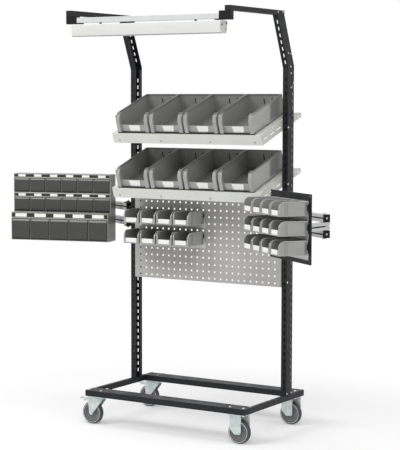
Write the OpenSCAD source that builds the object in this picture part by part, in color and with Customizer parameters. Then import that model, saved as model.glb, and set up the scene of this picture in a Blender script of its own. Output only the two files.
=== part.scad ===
// Mobile bin cart: a steel frame on casters with sloped bin shelves, a perforated panel, a work lamp,
// and two swing arms that carry a tip-out bin cabinet and a louvre panel.
// Millimetres. X runs along the cart, Y points to its back, Z is up, and the floor is at zero.

/* [Base frame] */
// Outer width of the base frame
base_w = 1018; // [900:2:1200]
// Distance from the panel plane to the front of the base
base_front = 443; // [400:1:520]
// Distance from the panel plane to the back of the base
base_back = 213; // [190:1:300]
// Height of the frame tubes
rail_h = 32; // [25:1:50]
// Depth of the front and rear tubes
cross_rail_d = 90; // [86:1:120]
// Width of the side tubes
side_rail_w = 20; // [16:1:30]
// Wall of the frame tubes
tube_wall = 2.5; // [2:0.1:4]
// Depth of the plugs that close the tube ends
plug_l = 12; // [6:1:20]

/* [Casters] */
// Radius of the wheels
wheel_r = 62.5; // [50:0.5:66]
// Width of the tyres
wheel_w = 32; // [25:1:40]
// Thickness of the tyre tread
tyre_t = 16; // [8:0.5:22]
// Height from the floor to the top of the caster plates
caster_h = 160; // [158:1:190]
// Offset of a swivel wheel behind its swivel axis
trail = 35; // [25:1:40]
// Distance of a caster's axis from the end of the frame
caster_inset = 56; // [54:1:90]
// Length of a caster plate
plate_l = 105; // [100:1:130]
// Width of a caster plate
plate_w = 85; // [80:1:86]
// Thickness of a caster plate
plate_t = 4; // [3:0.5:6]
// Bolt spacing of a caster plate along the cart
plate_pitch_x = 80; // [76:1:84]
// Bolt spacing of a caster plate across the cart
plate_pitch_y = 60; // [56:1:64]
// Radius of the caster bolts
bolt_r = 4; // [3:0.5:5]
// Radius of the wheel axles
axle_r = 6; // [4:0.5:8]
// Thickness of the fork legs
leg_t = 3; // [2:0.5:4]
// Radius of the swivel crown
crown_r = 38; // [34:1:40]
// Reach of the brake pedal from the swivel axis
pedal_reach = 112; // [100:1:125]

/* [Uprights] */
// Width of an upright
upright_w = 34; // [30:1:45]
// Depth of an upright
upright_d = 63; // [50:1:80]
// Sheet thickness of an upright
upright_t = 2.5; // [2:0.1:4]
// Distance from the panel plane to the front of the uprights
upright_y = 7.5; // [4:0.5:15]
// Height of the bend in the uprights
bend_z = 1963; // [1900:1:2000]
// Forward lean above the bend
lean = 23; // [10:1:30]
// Spacing of the slots, holes and perforations
pitch = 38; // [36:1:40]
// Length of an upright slot
slot_l = 20; // [12:1:26]
// Width of an upright slot
slot_w = 7; // [5:0.5:10]

/* [Lamp] */
// Height of the underside of the top arms
arm_z = 2238; // [2200:1:2300]
// Height of a top arm
arm_h = 26; // [20:1:40]
// Distance from the panel plane to the front of the top arms
arm_front = 604; // [500:1:650]
// Height of the cross bar
bar_h = 28; // [20:1:40]
// Depth of the cross bar
bar_d = 30; // [20:1:33]
// Width of an end block
block_w = 69; // [50:1:90]
// Depth of an end block
block_d = 33; // [33:1:45]
// Height of an end block
block_h = 46; // [40:1:60]
// Length of the lamp
lamp_l = 920; // [600:2:1000]
// Depth of the lamp
lamp_d = 73; // [60:1:110]
// Height of the lamp
lamp_h = 63; // [50:1:90]
// Sheet thickness of the lamp
lamp_wall = 2; // [1:0.1:4]
// Gap between the cross bar and the lamp
hanger_h = 9; // [5:1:20]

/* [Shelves] */
// Distance from the panel plane to the front edge of the shelves
shelf_front = 228; // [200:1:260]
// Height of the upper shelf's front edge
shelf_z = 1607; // [1580:1:1640]
// Slots between the two shelves
shelf_steps = 8; // [8:1:9]
// Slope of the shelves
shelf_tilt = 19; // [10:1:22]
// Length of the sloped deck
deck_l = 359; // [345:1:380]
// Length of the level ledge behind the deck
ledge_l = 108; // [105:1:130]
// Height of the front lip and the side plates
lip_h = 57; // [50:1:60]
// Sheet thickness of the shelves
sheet_t = 2; // [1.5:0.1:3]
// Thickness of the side plates
side_plate_t = 3; // [2:0.5:4]

/* [Bins] */
// Length of a large bin
big_l = 347; // [320:1:350]
// Width of a large bin
big_w = 218; // [190:1:219]
// Height of a large bin
big_h = 104; // [90:1:115]
// Height of a large bin's front
big_lip = 38; // [30:1:60]
// Setback of the large bins from the shelf edge
big_setback = 0.5; // [0.5:0.5:8]
// Length of a small bin
small_l = 155; // [130:1:170]
// Width of a small bin
small_w = 107; // [90:1:107]
// Height of a small bin
small_h = 73; // [60:1:76]
// Height of a small bin's front
small_lip = 30; // [20:1:40]
// Height of a large bin's foot
big_foot = 7; // [4:1:10]
// Width of a large bin's front posts
big_post = 22; // [10:1:40]
// Width of a small bin's front posts
small_post = 9; // [5:1:20]
// Share of a bin's width that is left at its front
front_share = 0.945; // [0.9:0.005:1]
// Gap between neighbouring bins
bin_gap = 2; // [1:0.5:3]
// Wall of the bins
bin_wall = 2.5; // [2:0.1:3.5]
// Corner radius of the bin sides
bin_corner = 30; // [15:1:36]

/* [Panel] */
// Rows of perforations in the panel
panel_rows = 12; // [10:1:12]
// Height of the lowest row of perforations
panel_z = 802; // [780:1:830]
// Side of a square perforation
perf = 10; // [6:1:14]
// Depth of the panel's folded edges
fold_d = 16; // [12:1:25]
// Length of a bin rail
rail_l = 444; // [436:1:480]
// Distance of the bin rails from the panel's left edge
rail_inset = 26; // [20:1:60]
// Height of the upper bin rail above the lowest perforations
rail_up = 281; // [270:1:300]
// Perforations between the two bin rails
rail_steps = 3; // [3:1:4]

/* [Swing arms] */
// Height of the arms' middle plane
swing_z = 1138; // [1120:1:1150]
// Distance from the frame's side to the shoulder pin
shoulder_x = 43; // [40:1:60]
// Distance from the panel plane to the shoulder pin
shoulder_y = 40; // [30:1:50]
// Pin to pin length of the paired bars
upper_l = 290; // [280:1:300]
// Pin to pin length of the single bar
fore_l = 250; // [240:1:260]
// Side of the square bars
bar_s = 40; // [30:1:42]
// Vertical gap between stacked bars
stack_gap = 2; // [1:0.5:4]
// Bar beyond its pin, with the cap
bar_over = 25; // [20:1:26]
// Radius of the arm pins
pin_r = 6; // [4:0.5:8]
// Distance from the wrist pin to what it carries
wrist_off = 45; // [44:1:60]
// Heading of the left paired bars
left_upper_heading = 148.5; // [146:0.5:152]
// Heading of the left single bar
left_fore_heading = 222.6; // [220:0.2:226]
// Heading of the right paired bars
right_upper_heading = -33; // [-40:1:-20]
// Heading of the right single bar
right_fore_heading = -95; // [-100:1:-80]

/* [Tip-out cabinet] */
// Width of the cabinet
cabinet_w = 600; // [560:2:604]
// Turn of the cabinet towards the user
cabinet_turn = 15; // [5:1:16]
// Shift of the cabinet from its wrist pin
cabinet_shift = 27; // [10:1:34]
// Height of the cabinet's underside
cabinet_z = 976; // [940:1:1000]
// Bins in a six-bin row
six_count = 6; // [6:1:6]
// Height of a six-bin row
six_h = 112; // [100:1:125]
// Depth of a six-bin row
six_d = 88; // [84:1:110]
// Height of a six-bin row's label band
six_band = 24; // [18:1:30]
// Bins in the five-bin row
five_count = 5; // [5:1:5]
// Height of the five-bin row
five_h = 162; // [150:1:180]
// Depth of the five-bin row
five_d = 128; // [120:1:150]
// Height of the five-bin row's label band
five_band = 34; // [26:1:40]
// Wall of the cabinet
cabinet_wall = 2.5; // [2:0.1:3.5]
// Wall between two tip-out bins
divider_t = 2; // [2:0.1:3]

/* [Louvre panel] */
// Width of the louvre panel
louvre_w = 466; // [464:1:520]
// Height of the louvre panel
louvre_h = 350; // [340:1:400]
// Height of the louvre panel's underside
louvre_z = 980; // [960:1:990]
// Turn of the louvre panel towards the user
louvre_turn = -36; // [-50:1:-30]
// Shift of the louvre panel from its wrist pin
louvre_shift = 12; // [-20:1:40]
// Width of the frame's border
border_w = 20; // [18:1:24]
// Height of the frame's top border
border_top = 32; // [20:1:34]
// Depth of the frame
border_d = 8; // [7:1:20]
// Rows of hanging bins
louvre_rows = 3; // [3:1:3]
// Spacing of the rows
louvre_pitch = 97; // [90:1:106]

/* [Hidden] */
$fn = 48;
eps = 1;
run_gap = 0.05;
fit_gap = 0.3;
bin_count = 4;
hex = 6;

// Base and casters
base_top = caster_h + rail_h;
half_w = base_w / 2;
panel_w = base_w - 2 * upright_w;
half_panel = panel_w / 2;
caster_x = half_w - caster_inset;
caster_front_y = -base_front + cross_rail_d / 2;
caster_rear_y = base_back - cross_rail_d / 2;
caster_ys = [caster_front_y, caster_rear_y];
bolt_hole_r = bolt_r + fit_gap;
head_r = 1.8 * bolt_r;
head_h = 1.3 * bolt_r;
race_h = 6;
crown_h = 7;
crown_top = caster_h - plate_t - race_h - fit_gap;
crown_low = crown_top - crown_h;
king_r = 6;
rivet_r = 10;
rivet_h = 5;
leg_gap = 1.5;
leg_in = wheel_w / 2 + leg_gap;
leg_out = leg_in + leg_t;
hub_r = 2.4 * axle_r;
hub_half = leg_in - fit_gap;
core_r = wheel_r - tyre_t;
lug_x = 50;
lug_r = 6;
pedal_z = crown_low - lug_r;
pedal_pin_r = 3;
pedal_t = 4;

// Uprights and lamp
front_slot_x = 20;
back_slot_x = 27;
web_hole_r = 3.25;
web_hole_y = 24;
web_slot = [6, 16];
web_slot_y = upright_d - 14.5;
left_lip = 24.5;
right_lip = 43;
lean_first = 0.85 * pitch;
low_l = bend_z - base_top;
lean_len = (arm_z - bend_z) / cos(lean);
arm_rear = upright_y + upright_d / cos(lean) - (arm_z - bend_z) * tan(lean);
block_front = arm_front;
bar_y = -block_front + block_d / 2;
block_low = arm_z - block_h;
bar_seat = 5;
bar_low = block_low + bar_seat;
lamp_top = block_low + bar_seat - hanger_h;
lamp_y = bar_y;
lamp_fold = 0.45 * lamp_h;
lamp_taper = 8;
lens_t = 3;

// Shelves
shelf_drop = shelf_steps * pitch;
shelf_zs = [shelf_z, shelf_z - shelf_drop];
tail_y = deck_l * cos(shelf_tilt) + ledge_l - shelf_front;
tail_top = [deck_l + ledge_l * cos(shelf_tilt), -ledge_l * sin(shelf_tilt)];
tail_low = [tail_top[0] - (lip_h + tail_top[1]) * tan(shelf_tilt), -lip_h];
deck_half = half_panel - side_plate_t;
big_pitch = big_w + bin_gap;
big_bend = 0.66 * big_h;
big_shoulder = 0.925 * big_h;
big_lean = 16;
big_nose = 34;
big_recess = 14;
foot_in = 16;
small_pitch = small_w + bin_gap;

// Bin rails and the hooks that hang on them
rail_t = 3;
rail_reach = 10;
rail_step_z = 27;
rail_top_z = 58;
bin_seat = 22;
hook_leg = 2.5;
hook_drop = 8;
hook_margin = 10;

// Swing arms
stack_pitch = bar_s + stack_gap;
bracket_t = 5;
pin_head_r = 1.7 * pin_r;
pin_head_h = 4;
cap_t = 5;
groove_w = 8;
groove_d = 6;
clevis_r = 22;
carrier_t = 4;
shoulder_at = half_w + shoulder_x;
left_shoulder = [-shoulder_at, shoulder_y];
right_shoulder = [shoulder_at, shoulder_y];
left_elbow = left_shoulder + upper_l * heading(left_upper_heading);
right_elbow = right_shoulder + upper_l * heading(right_upper_heading);
left_wrist = left_elbow + fore_l * heading(left_fore_heading);
right_wrist = right_elbow + fore_l * heading(right_fore_heading);

// Tip-out bins
pivot_in = 5;
pivot_up = 6;
bin_side_gap = 0.75;
stub_r = 2;
stub_in = 0.9;
tip_wall = 2;
tip_gap = 2;
pad_t = 4;
pad_in = 3.5;
pad_edge = 2;
grip_share = 0.105;
back_share = 0.43;
floor_share = 0.64;
six_zs = [cabinet_z + five_h + six_h, cabinet_z + five_h];

// Origin: the middle of the whole object's outline on the floor
left_end = left_wrist[0] + (cabinet_shift - cabinet_w / 2) * cos(cabinet_turn)
    + wrist_off * sin(cabinet_turn);
right_end = right_wrist[0] + (louvre_shift + louvre_w / 2) * cos(louvre_turn)
    + wrist_off * sin(louvre_turn);
louvre_bins_half = (bin_count - 1) * small_pitch / 2 + front_share * small_w / 2;
louvre_bins_front = wrist_off + border_d / 2 + rail_reach + fit_gap + small_l;
front_end = right_wrist[1] + (louvre_shift + louvre_bins_half) * sin(louvre_turn)
    - louvre_bins_front * cos(louvre_turn);
elbow_back = left_elbow[1] + bar_over * sin(left_upper_heading) - bar_s / 2 * cos(left_upper_heading);
fore_back = left_elbow[1] - bar_over * sin(left_fore_heading) - bar_s / 2 * cos(left_fore_heading);
back_end = max(tail_y, elbow_back, fore_back, base_back);
origin = [(left_end + right_end) / 2, (front_end + back_end) / 2];

six_names = [for (row = ["upper", "middle"], i = [1 : six_count]) str(row, "_tilt_bin_", i)];
five_names = [for (i = [1 : five_count]) str("lower_tilt_bin_", i)];

function heading(a) = [cos(a), sin(a)];

// Moves the cart so that its origin is the middle of its outline
module place() {
    translate([-origin[0], -origin[1], 0]) children();
}

// A box between two corners
module span(a, b) {
    translate(a) cube(b - a);
}

// Both of a mirrored pair
module pair() {
    children();
    mirror([1, 0, 0]) children();
}

// Extrudes a drawing of depth and height along the cart, from x = 0
module along_x(w) {
    rotate([90, 0, 90]) linear_extrude(w) children();
}

// Extrudes a drawing of width and height towards the back, from y = 0
module along_y(d) {
    translate([0, d, 0]) rotate([90, 0, 0]) linear_extrude(d) children();
}

// A cylinder along Y, centred
module round_y(r, l) {
    rotate([90, 0, 0]) cylinder(r = r, h = l, center = true);
}

// Base frame

module caster_hole_grid() {
    for (sx = [-1, 1], sy = [-1, 1])
        translate([sx * plate_pitch_x / 2, sy * plate_pitch_y / 2, 0]) children();
}

module each_caster() {
    for (sx = [-1, 1], y = caster_ys) translate([sx * caster_x, y, 0]) children();
}

module cross_rail(y) {
    difference() {
        span([-half_w, y, caster_h], [half_w, y + cross_rail_d, base_top]);
        span([-half_w - eps, y + tube_wall, caster_h + tube_wall],
             [half_w + eps, y + cross_rail_d - tube_wall, base_top - tube_wall]);
        each_caster() caster_hole_grid()
            translate([0, 0, caster_h - eps]) cylinder(r = bolt_hole_r, h = rail_h + 2 * eps);
    }
    pair() span([half_w - plug_l, y + tube_wall, caster_h + tube_wall],
                [half_w, y + cross_rail_d - tube_wall, base_top - tube_wall]);
}

module cross_rails() {
    color("#3c3c40") {
        cross_rail(-base_front);
        cross_rail(base_back - cross_rail_d);
    }
}

module side_rails() {
    color("#3c3c40") pair() difference() {
        span([half_w - side_rail_w, cross_rail_d - base_front, caster_h],
             [half_w, base_back - cross_rail_d, base_top]);
        span([half_w - side_rail_w + tube_wall, cross_rail_d - base_front - eps, caster_h + tube_wall],
             [half_w - tube_wall, base_back - cross_rail_d + eps, base_top - tube_wall]);
    }
}

module caster_bolts() {
    color("#c9ccca") each_caster() caster_hole_grid() {
        translate([0, 0, base_top]) cylinder(r = head_r, h = head_h, $fn = hex);
        translate([0, 0, caster_h - plate_t]) cylinder(r = bolt_r, h = rail_h + plate_t);
        translate([0, 0, caster_h - plate_t - head_h]) cylinder(r = head_r, h = head_h, $fn = hex);
    }
}

// Casters, each drawn with its axis on the origin

module caster_plate() {
    difference() {
        span([-plate_l / 2, -plate_w / 2, caster_h - plate_t], [plate_l / 2, plate_w / 2, caster_h]);
        caster_hole_grid() translate([0, 0, caster_h - plate_t - eps])
            cylinder(r = bolt_hole_r, h = plate_t + 2 * eps);
    }
}

module swivel_plate() {
    caster_plate();
    translate([0, 0, crown_top + fit_gap]) cylinder(r = crown_r - 2, h = race_h);
    translate([0, 0, crown_low - fit_gap]) cylinder(r = king_r, h = caster_h - plate_t - crown_low);
    translate([0, 0, crown_low - fit_gap - rivet_h]) cylinder(r = rivet_r, h = rivet_h);
}

module swivel_plates() {
    color("#c6d6d2") for (y = caster_ys) translate([-caster_x, y, 0]) swivel_plate();
}

module axle() {
    translate([0, 0, wheel_r]) {
        round_y(axle_r, 2 * leg_out);
        for (s = [-1, 1]) translate([0, s * (leg_out + head_h / 2), 0])
            rotate([90, 0, 0]) cylinder(r = 1.5 * axle_r, h = head_h, center = true, $fn = hex);
    }
}

// Outline of a swivel leg, from the crown down to the trailing axle
module swivel_leg_outline() {
    boss_r = 2 * axle_r;
    difference() {
        union() {
            polygon([[-lug_x - lug_r, crown_low], [crown_r, crown_low], [crown_r, crown_low - lug_r],
                     [boss_r - trail, wheel_r], [-boss_r - trail, wheel_r],
                     [-lug_x - lug_r, pedal_z - 2 * lug_r]]);
            translate([-trail, wheel_r]) circle(r = boss_r);
        }
        translate([-trail, wheel_r]) circle(r = axle_r + run_gap);
        translate([-lug_x, pedal_z]) circle(r = pedal_pin_r + run_gap);
    }
}

module swivel_fork() {
    difference() {
        union() {
            translate([0, 0, crown_low]) cylinder(r = crown_r, h = crown_h);
            for (y = [-leg_out, leg_in]) translate([0, y, 0]) along_y(leg_t) swivel_leg_outline();
            span([lug_r - lug_x, -leg_out, crown_low], [crown_r - lug_r, leg_out, crown_low + leg_t]);
        }
        translate([0, 0, crown_low - eps]) cylinder(r = king_r + run_gap, h = crown_h + 2 * eps);
    }
    translate([-trail, 0, 0]) axle();
}

module brake_pedal() {
    tread = leg_in - 3;
    cheek_t = 3;
    cheek_l = 40;
    cheek_h = 13;
    root_l = 12;
    root_h = 9;
    translate([-lug_x, 0, pedal_z]) round_y(pedal_pin_r, 2 * leg_out);
    span([-pedal_reach, -tread, pedal_z - pedal_t / 2], [-lug_x, tread, pedal_z + pedal_t / 2]);
    span([-pedal_reach - pedal_t, -tread, pedal_z - pedal_t / 2], [-pedal_reach, tread, pedal_z + pedal_t]);
    for (y = [-tread, tread - cheek_t]) translate([-lug_x, y, pedal_z]) along_y(cheek_t)
        polygon([[0, 0], [-cheek_l, 0], [-cheek_l, -cheek_h], [-root_l, -root_h], [0, -pedal_pin_r]]);
}

// A fixed fork has two equal legs, each wider on one side and turned end for end
module fixed_fork() {
    leg_wide = 50;
    leg_narrow = 18;
    leg_chamfer = 28;
    leg_bevel = 6;
    leg_foot = 13;
    leg_low = wheel_r - leg_foot;
    leg_top = caster_h - plate_t;
    caster_plate();
    for (a = [0, 180]) rotate([0, 0, a]) translate([0, -leg_out, 0]) along_y(leg_t) difference() {
        polygon([[-leg_wide, leg_top], [leg_narrow, leg_top], [leg_narrow, leg_low + 3 * leg_bevel],
                 [leg_narrow - leg_bevel, leg_low], [leg_chamfer - leg_wide, leg_low],
                 [-leg_wide, leg_low + leg_chamfer]]);
        translate([0, wheel_r]) circle(r = axle_r + run_gap);
    }
    axle();
}

module fixed_forks() {
    color("#c6d6d2") for (y = caster_ys) translate([caster_x, y, 0]) fixed_fork();
}

// Wheel centre with its hub, web and rim
module wheel() {
    web_half = 6;
    rim_in = core_r - 7;
    rim_half = wheel_w / 2 - 2;
    translate([0, 0, wheel_r]) rotate([90, 0, 0]) rotate_extrude() polygon([
        [axle_r + run_gap, -hub_half], [hub_r, -hub_half], [hub_r, -web_half], [rim_in, -web_half],
        [rim_in, -rim_half], [core_r, -rim_half], [core_r, rim_half], [rim_in, rim_half],
        [rim_in, web_half], [hub_r, web_half], [hub_r, hub_half], [axle_r + run_gap, hub_half]]);
}

module tyre() {
    edge = 6;
    translate([0, 0, wheel_r]) rotate([90, 0, 0]) rotate_extrude() union() {
        translate([core_r + run_gap, -wheel_w / 2]) square([tyre_t - run_gap - edge, wheel_w]);
        translate([core_r + run_gap, edge - wheel_w / 2]) square([tyre_t - run_gap, wheel_w - 2 * edge]);
        for (s = [-1, 1]) translate([wheel_r - edge, s * (wheel_w / 2 - edge)]) circle(r = edge);
    }
}

module at_swivel(y) {
    translate([-caster_x, y, 0]) children();
}

module at_swivel_wheel(y) {
    translate([-caster_x - trail, y, 0]) children();
}

module at_fixed_wheel(y) {
    translate([caster_x, y, 0]) children();
}

// Uprights: open channels whose open side faces the panel, bent forward above the bend

function bend_at(u) = low_l + u * tan(lean / 2);
function lean_y(u, h) = u - (h - bend_at(u)) * tan(lean);

// Side of a bent strip between two depths, from one height to another
module bent_side(u, v, low, high) {
    polygon([[u, low], [u, bend_at(u)], [lean_y(u, high), high], [lean_y(v, high), high],
             [v, bend_at(v)], [v, low]]);
}

// Side of the channel's opening: below the bend it stops at the lip of the back flange
module opening_side(lip_y, back_y, high) {
    polygon([[upright_t, -eps], [upright_t, bend_at(upright_t)], [lean_y(upright_t, high), high],
             [lean_y(back_y, high), high], [back_y, bend_at(back_y)], [back_y, low_l], [lip_y, low_l],
             [lip_y, -eps]]);
}

// A column of slots through a flange that starts at depth y
module slot_column(count, first, x, y) {
    for (k = [0 : count - 1]) translate([x - slot_w / 2, y - eps, first + k * pitch - slot_l / 2])
        cube([slot_w, upright_t + 2 * eps, slot_l]);
}

module upright(lip) {
    top = arm_z - base_top;
    back_y = upright_d - upright_t;
    low_count = floor((low_l - pitch) / pitch);
    high_count = 1 + floor((lean_len - lean_first - slot_l / 2 - upright_d * tan(lean)) / pitch);
    difference() {
        along_x(upright_w) bent_side(0, upright_d, 0, top);
        translate([upright_t, 0, 0]) along_x(upright_w - 2 * upright_t)
            bent_side(upright_t, back_y, -eps, top + eps);
        translate([-eps, 0, 0]) along_x(upright_t + 2 * eps)
            opening_side(upright_d - lip, back_y, top + eps);
        slot_column(low_count, pitch, front_slot_x, 0);
        slot_column(low_count, pitch, back_slot_x, back_y);
        translate([0, 0, low_l]) rotate([lean, 0, 0]) {
            slot_column(high_count, lean_first, front_slot_x, 0);
            slot_column(high_count, lean_first, back_slot_x, back_y);
        }
        translate([upright_w - upright_t - eps, 0, 0]) along_x(upright_t + 2 * eps)
            for (k = [1 : low_count - 2]) translate([0, (k + 1) * pitch]) {
                translate([web_hole_y, 0]) circle(r = web_hole_r);
                translate([web_slot_y, 0]) square(web_slot, center = true);
            }
    }
}

module uprights() {
    at = [half_panel, upright_y, base_top];
    color("#3a3a3e") {
        translate(at) upright(right_lip);
        mirror([1, 0, 0]) translate(at) upright(left_lip);
    }
}

// Top arms, cross bar and lamp

module light_arms() {
    color("#3a3a3e") pair() difference() {
        span([half_panel, -arm_front, arm_z], [half_w, arm_rear, arm_z + arm_h]);
        span([half_panel + tube_wall, tube_wall - arm_front, arm_z + tube_wall],
             [half_w - tube_wall, arm_rear + eps, arm_z + arm_h - tube_wall]);
    }
}

module light_blocks() {
    lip_l = 26;
    inner = half_w - block_w;
    color("#2b2b2d") pair() {
        span([inner, -block_front, block_low], [half_w, block_d - block_front, arm_z]);
        span([inner - lip_l, -block_front, block_low], [inner, block_d - block_front, bar_low]);
    }
}

module light_bar() {
    groove = 8;
    bar_half = half_w - block_w;
    color("#d6d7d6") difference() {
        span([-bar_half, bar_y - bar_d / 2, bar_low], [bar_half, bar_y + bar_d / 2, bar_low + bar_h]);
        span([-bar_half - eps, bar_y - groove / 2, bar_low + bar_h - groove],
             [bar_half + eps, bar_y + groove / 2, bar_low + bar_h + eps]);
    }
}

module lamp_hangers() {
    peg_x = 295;
    peg_half = 5;
    slider_x = 123;
    slider_half = 38;
    slider_d = 11;
    color("#2b2b2d") {
        pair() span([peg_x - peg_half, lamp_y - peg_half, lamp_top],
                    [peg_x + peg_half, lamp_y + peg_half, bar_low]);
        span([-slider_x - slider_half, lamp_y - slider_d, lamp_top],
             [slider_half - slider_x, lamp_y + slider_d, bar_low]);
    }
}

// Section of the lamp, drawn smaller by a wall for its inside and open below
module lamp_section(inset, low) {
    half = lamp_d / 2 - inset;
    polygon([[lamp_taper - half, low], [half - lamp_taper, low], [half - lamp_taper, 0],
             [half, lamp_h - lamp_fold], [half, lamp_h - inset], [-half, lamp_h - inset],
             [-half, lamp_h - lamp_fold], [lamp_taper - half, 0]]);
}

module lamp_housing() {
    color("#eeefe9") translate([0, lamp_y, lamp_top - lamp_h]) difference() {
        translate([-lamp_l / 2, 0, 0]) along_x(lamp_l) lamp_section(0, 0);
        translate([lamp_wall - lamp_l / 2, 0, 0]) along_x(lamp_l - 2 * lamp_wall)
            lamp_section(lamp_wall, -eps);
    }
}

module lamp_lens() {
    lens_x = lamp_l / 2 - lamp_wall - fit_gap;
    lens_y = lamp_d / 2 - lamp_taper - lamp_wall - fit_gap;
    low = lamp_top - lamp_h;
    color("#f7f7f2") span([-lens_x, lamp_y - lens_y, low], [lens_x, lamp_y + lens_y, low + lens_t]);
}

// Shelves, drawn with the front edge on the origin and the deck rising to the back

module at_shelf(z) {
    translate([0, -shelf_front, z]) rotate([shelf_tilt, 0, 0]) children();
}

module shelf() {
    dimple_r = 2.5;
    dimple_z = 15;
    dimple_in = 40;
    dimple_xs = [deck_half - dimple_in, deck_half / 3];
    difference() {
        span([-deck_half, 0, -lip_h], [deck_half, sheet_t, 0]);
        for (x = dimple_xs, s = [-1, 1]) translate([s * x, sheet_t / 2, dimple_z - lip_h])
            round_y(dimple_r, sheet_t + 2 * eps);
    }
    span([-deck_half, sheet_t, -sheet_t], [deck_half, deck_l, 0]);
    translate([0, deck_l, 0]) rotate([-shelf_tilt, 0, 0])
        span([-deck_half, -sheet_t, -sheet_t], [deck_half, ledge_l, 0]);
}

module shelves() {
    color("#dadbd6") for (z = shelf_zs) at_shelf(z) shelf();
}

module side_plate_outline() {
    hole_r = 3;
    hole_z = 9;
    holes = floor((deck_l - pitch) / pitch);
    long_slot = 50;
    long_slot_w = 7;
    long_slot_z = 36;
    slots = floor((deck_l - pitch) / (2 * pitch));
    tail_slot_l = 30;
    tail_slot_w = 6;
    tail_slot_in = 9;
    difference() {
        polygon([[0, 0], [deck_l, 0], tail_top, tail_low, [0, -lip_h]]);
        translate([tail_low[0] - tail_slot_l - tail_slot_in, tail_slot_in - lip_h])
            square([tail_slot_l, tail_slot_w]);
        for (k = [1 : holes]) translate([k * pitch, -hole_z]) circle(r = hole_r);
        for (k = [0 : slots]) translate([pitch / 2 + k * 2 * pitch, -long_slot_z])
            square([long_slot, long_slot_w]);
    }
}

module shelf_brackets() {
    color("#c8c9c5") for (z = shelf_zs) at_shelf(z) pair()
        translate([deck_half, 0, 0]) along_x(side_plate_t) side_plate_outline();
}

// Open bins, drawn with the front at y = 0 and the underside at z = 0

module bin_side(l, h) {
    difference() {
        square([l, h]);
        difference() {
            translate([-eps, h - bin_corner]) square([bin_corner + eps, bin_corner + eps]);
            translate([bin_corner, h - bin_corner]) circle(r = bin_corner);
        }
    }
}

// Keeps what is inside a bin's plan, which narrows to the front
module in_plan(l, w, h, inset) {
    back = w / 2 - inset;
    front = front_share * w / 2 - inset;
    intersection() {
        translate([-w / 2, 0, 0]) along_x(w) children();
        linear_extrude(h) polygon([[-front, 0], [front, 0], [back, l], [-back, l]]);
    }
}

module open_bin(l, w, h, lip, post) {
    opening = front_share * w / 2 - post;
    difference() {
        in_plan(l, w, h, 0) bin_side(l, h);
        in_plan(l, w, h + eps, bin_wall) translate([bin_wall, bin_wall]) square([l - 2 * bin_wall, h]);
        span([-opening, -eps, lip], [opening, bin_wall + eps, h + eps]);
    }
}

// Side of a large bin, whose front leans back above a bend, drawn smaller by a wall for its inside
module big_side(inset, top) {
    polygon([[inset, inset], [big_l - inset, inset], [big_l - inset, top], [big_nose + inset, top],
             [big_lean + inset, big_shoulder], [inset, big_bend]]);
}

// A large bin: the low front between its two posts is set back and carries the label
module big_bin() {
    half = front_share * big_w / 2;
    post_in = half - big_post;
    lip_back = big_recess + bin_wall;
    span([foot_in - half, lip_back, 0], [half - foot_in, big_l - foot_in, big_foot + bin_wall / 2]);
    translate([0, 0, big_foot]) {
        difference() {
            in_plan(big_l, big_w, big_h, 0) big_side(0, big_h);
            difference() {
                in_plan(big_l, big_w, big_h + eps, bin_wall) big_side(bin_wall, big_h + eps);
                span([-post_in, 0, 0], [post_in, lip_back, big_lip]);
            }
            span([-post_in, -eps, -eps], [post_in, big_recess, big_h + eps]);
            span([-post_in, -eps, big_lip], [post_in, big_nose + 2 * bin_wall, big_h + eps]);
        }
        pair() intersection() {
            translate([post_in, 0, 0]) along_x(bin_wall) big_side(0, big_h);
            span([post_in, 0, 0], [half, lip_back, big_h]);
        }
    }
}

module hanging_bin() {
    hook_z = rail_top_z - bin_seat + fit_gap;
    hook_half = small_w / 2 - hook_margin;
    hook_back = small_l + fit_gap + rail_t + fit_gap;
    open_bin(small_l, small_w, small_h, small_lip, small_post);
    span([-hook_half, small_l, hook_z], [hook_half, hook_back + hook_leg, hook_z + hook_leg]);
    span([-hook_half, hook_back, hook_z - hook_drop], [hook_half, hook_back + hook_leg, hook_z]);
}

// A row of hanging bins on a rail that starts at x = 0
module hanging_row() {
    for (i = [0 : bin_count - 1])
        translate([(i + 0.5) * small_pitch, -rail_reach - fit_gap - small_l, bin_seat]) hanging_bin();
}

// Section of a bin rail: foot on the panel, step, and the upper edge that the hooks straddle
module rail_section() {
    polygon([[0, 0], [0, rail_step_z + rail_t], [rail_t - rail_reach, rail_step_z + rail_t],
             [rail_t - rail_reach, rail_top_z], [-rail_reach, rail_top_z], [-rail_reach, rail_step_z],
             [-rail_t, rail_step_z], [-rail_t, 0]]);
}

module shelf_bins() {
    color("#8f8f8c") for (z = shelf_zs, i = [0 : bin_count - 1]) at_shelf(z)
        translate([(i - (bin_count - 1) / 2) * big_pitch, big_setback, 0])
            big_bin();
}

// Perforated panel between the uprights, with its bin rails

module perforated_panel() {
    cols = floor((panel_w - pitch) / pitch);
    low = panel_z - pitch / 2;
    high = panel_z + (panel_rows - 0.5) * pitch;
    color("#b0b0ac") {
        along_y(sheet_t) difference() {
            translate([-half_panel, low]) square([panel_w, high - low]);
            for (i = [0 : cols - 1], k = [0 : panel_rows - 1])
                translate([(i - (cols - 1) / 2) * pitch, panel_z + k * pitch]) square(perf, center = true);
        }
        pair() span([half_panel - sheet_t, sheet_t, low], [half_panel, fold_d, high]);
        for (z = [low, high - sheet_t])
            span([sheet_t - half_panel, sheet_t, z], [half_panel - sheet_t, fold_d, z + sheet_t]);
    }
}

module each_bin_rail() {
    for (k = [0, rail_steps])
        translate([rail_inset - half_panel, 0, panel_z + rail_up - k * pitch]) children();
}

module bin_rails() {
    color("#d8d9d4") each_bin_rail() along_x(rail_l) rail_section();
}

module rail_bins() {
    color("#a8a8a4") each_bin_rail()
        translate([(rail_l - bin_count * small_pitch) / 2, 0, 0]) hanging_row();
}

// Swing arms

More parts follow.
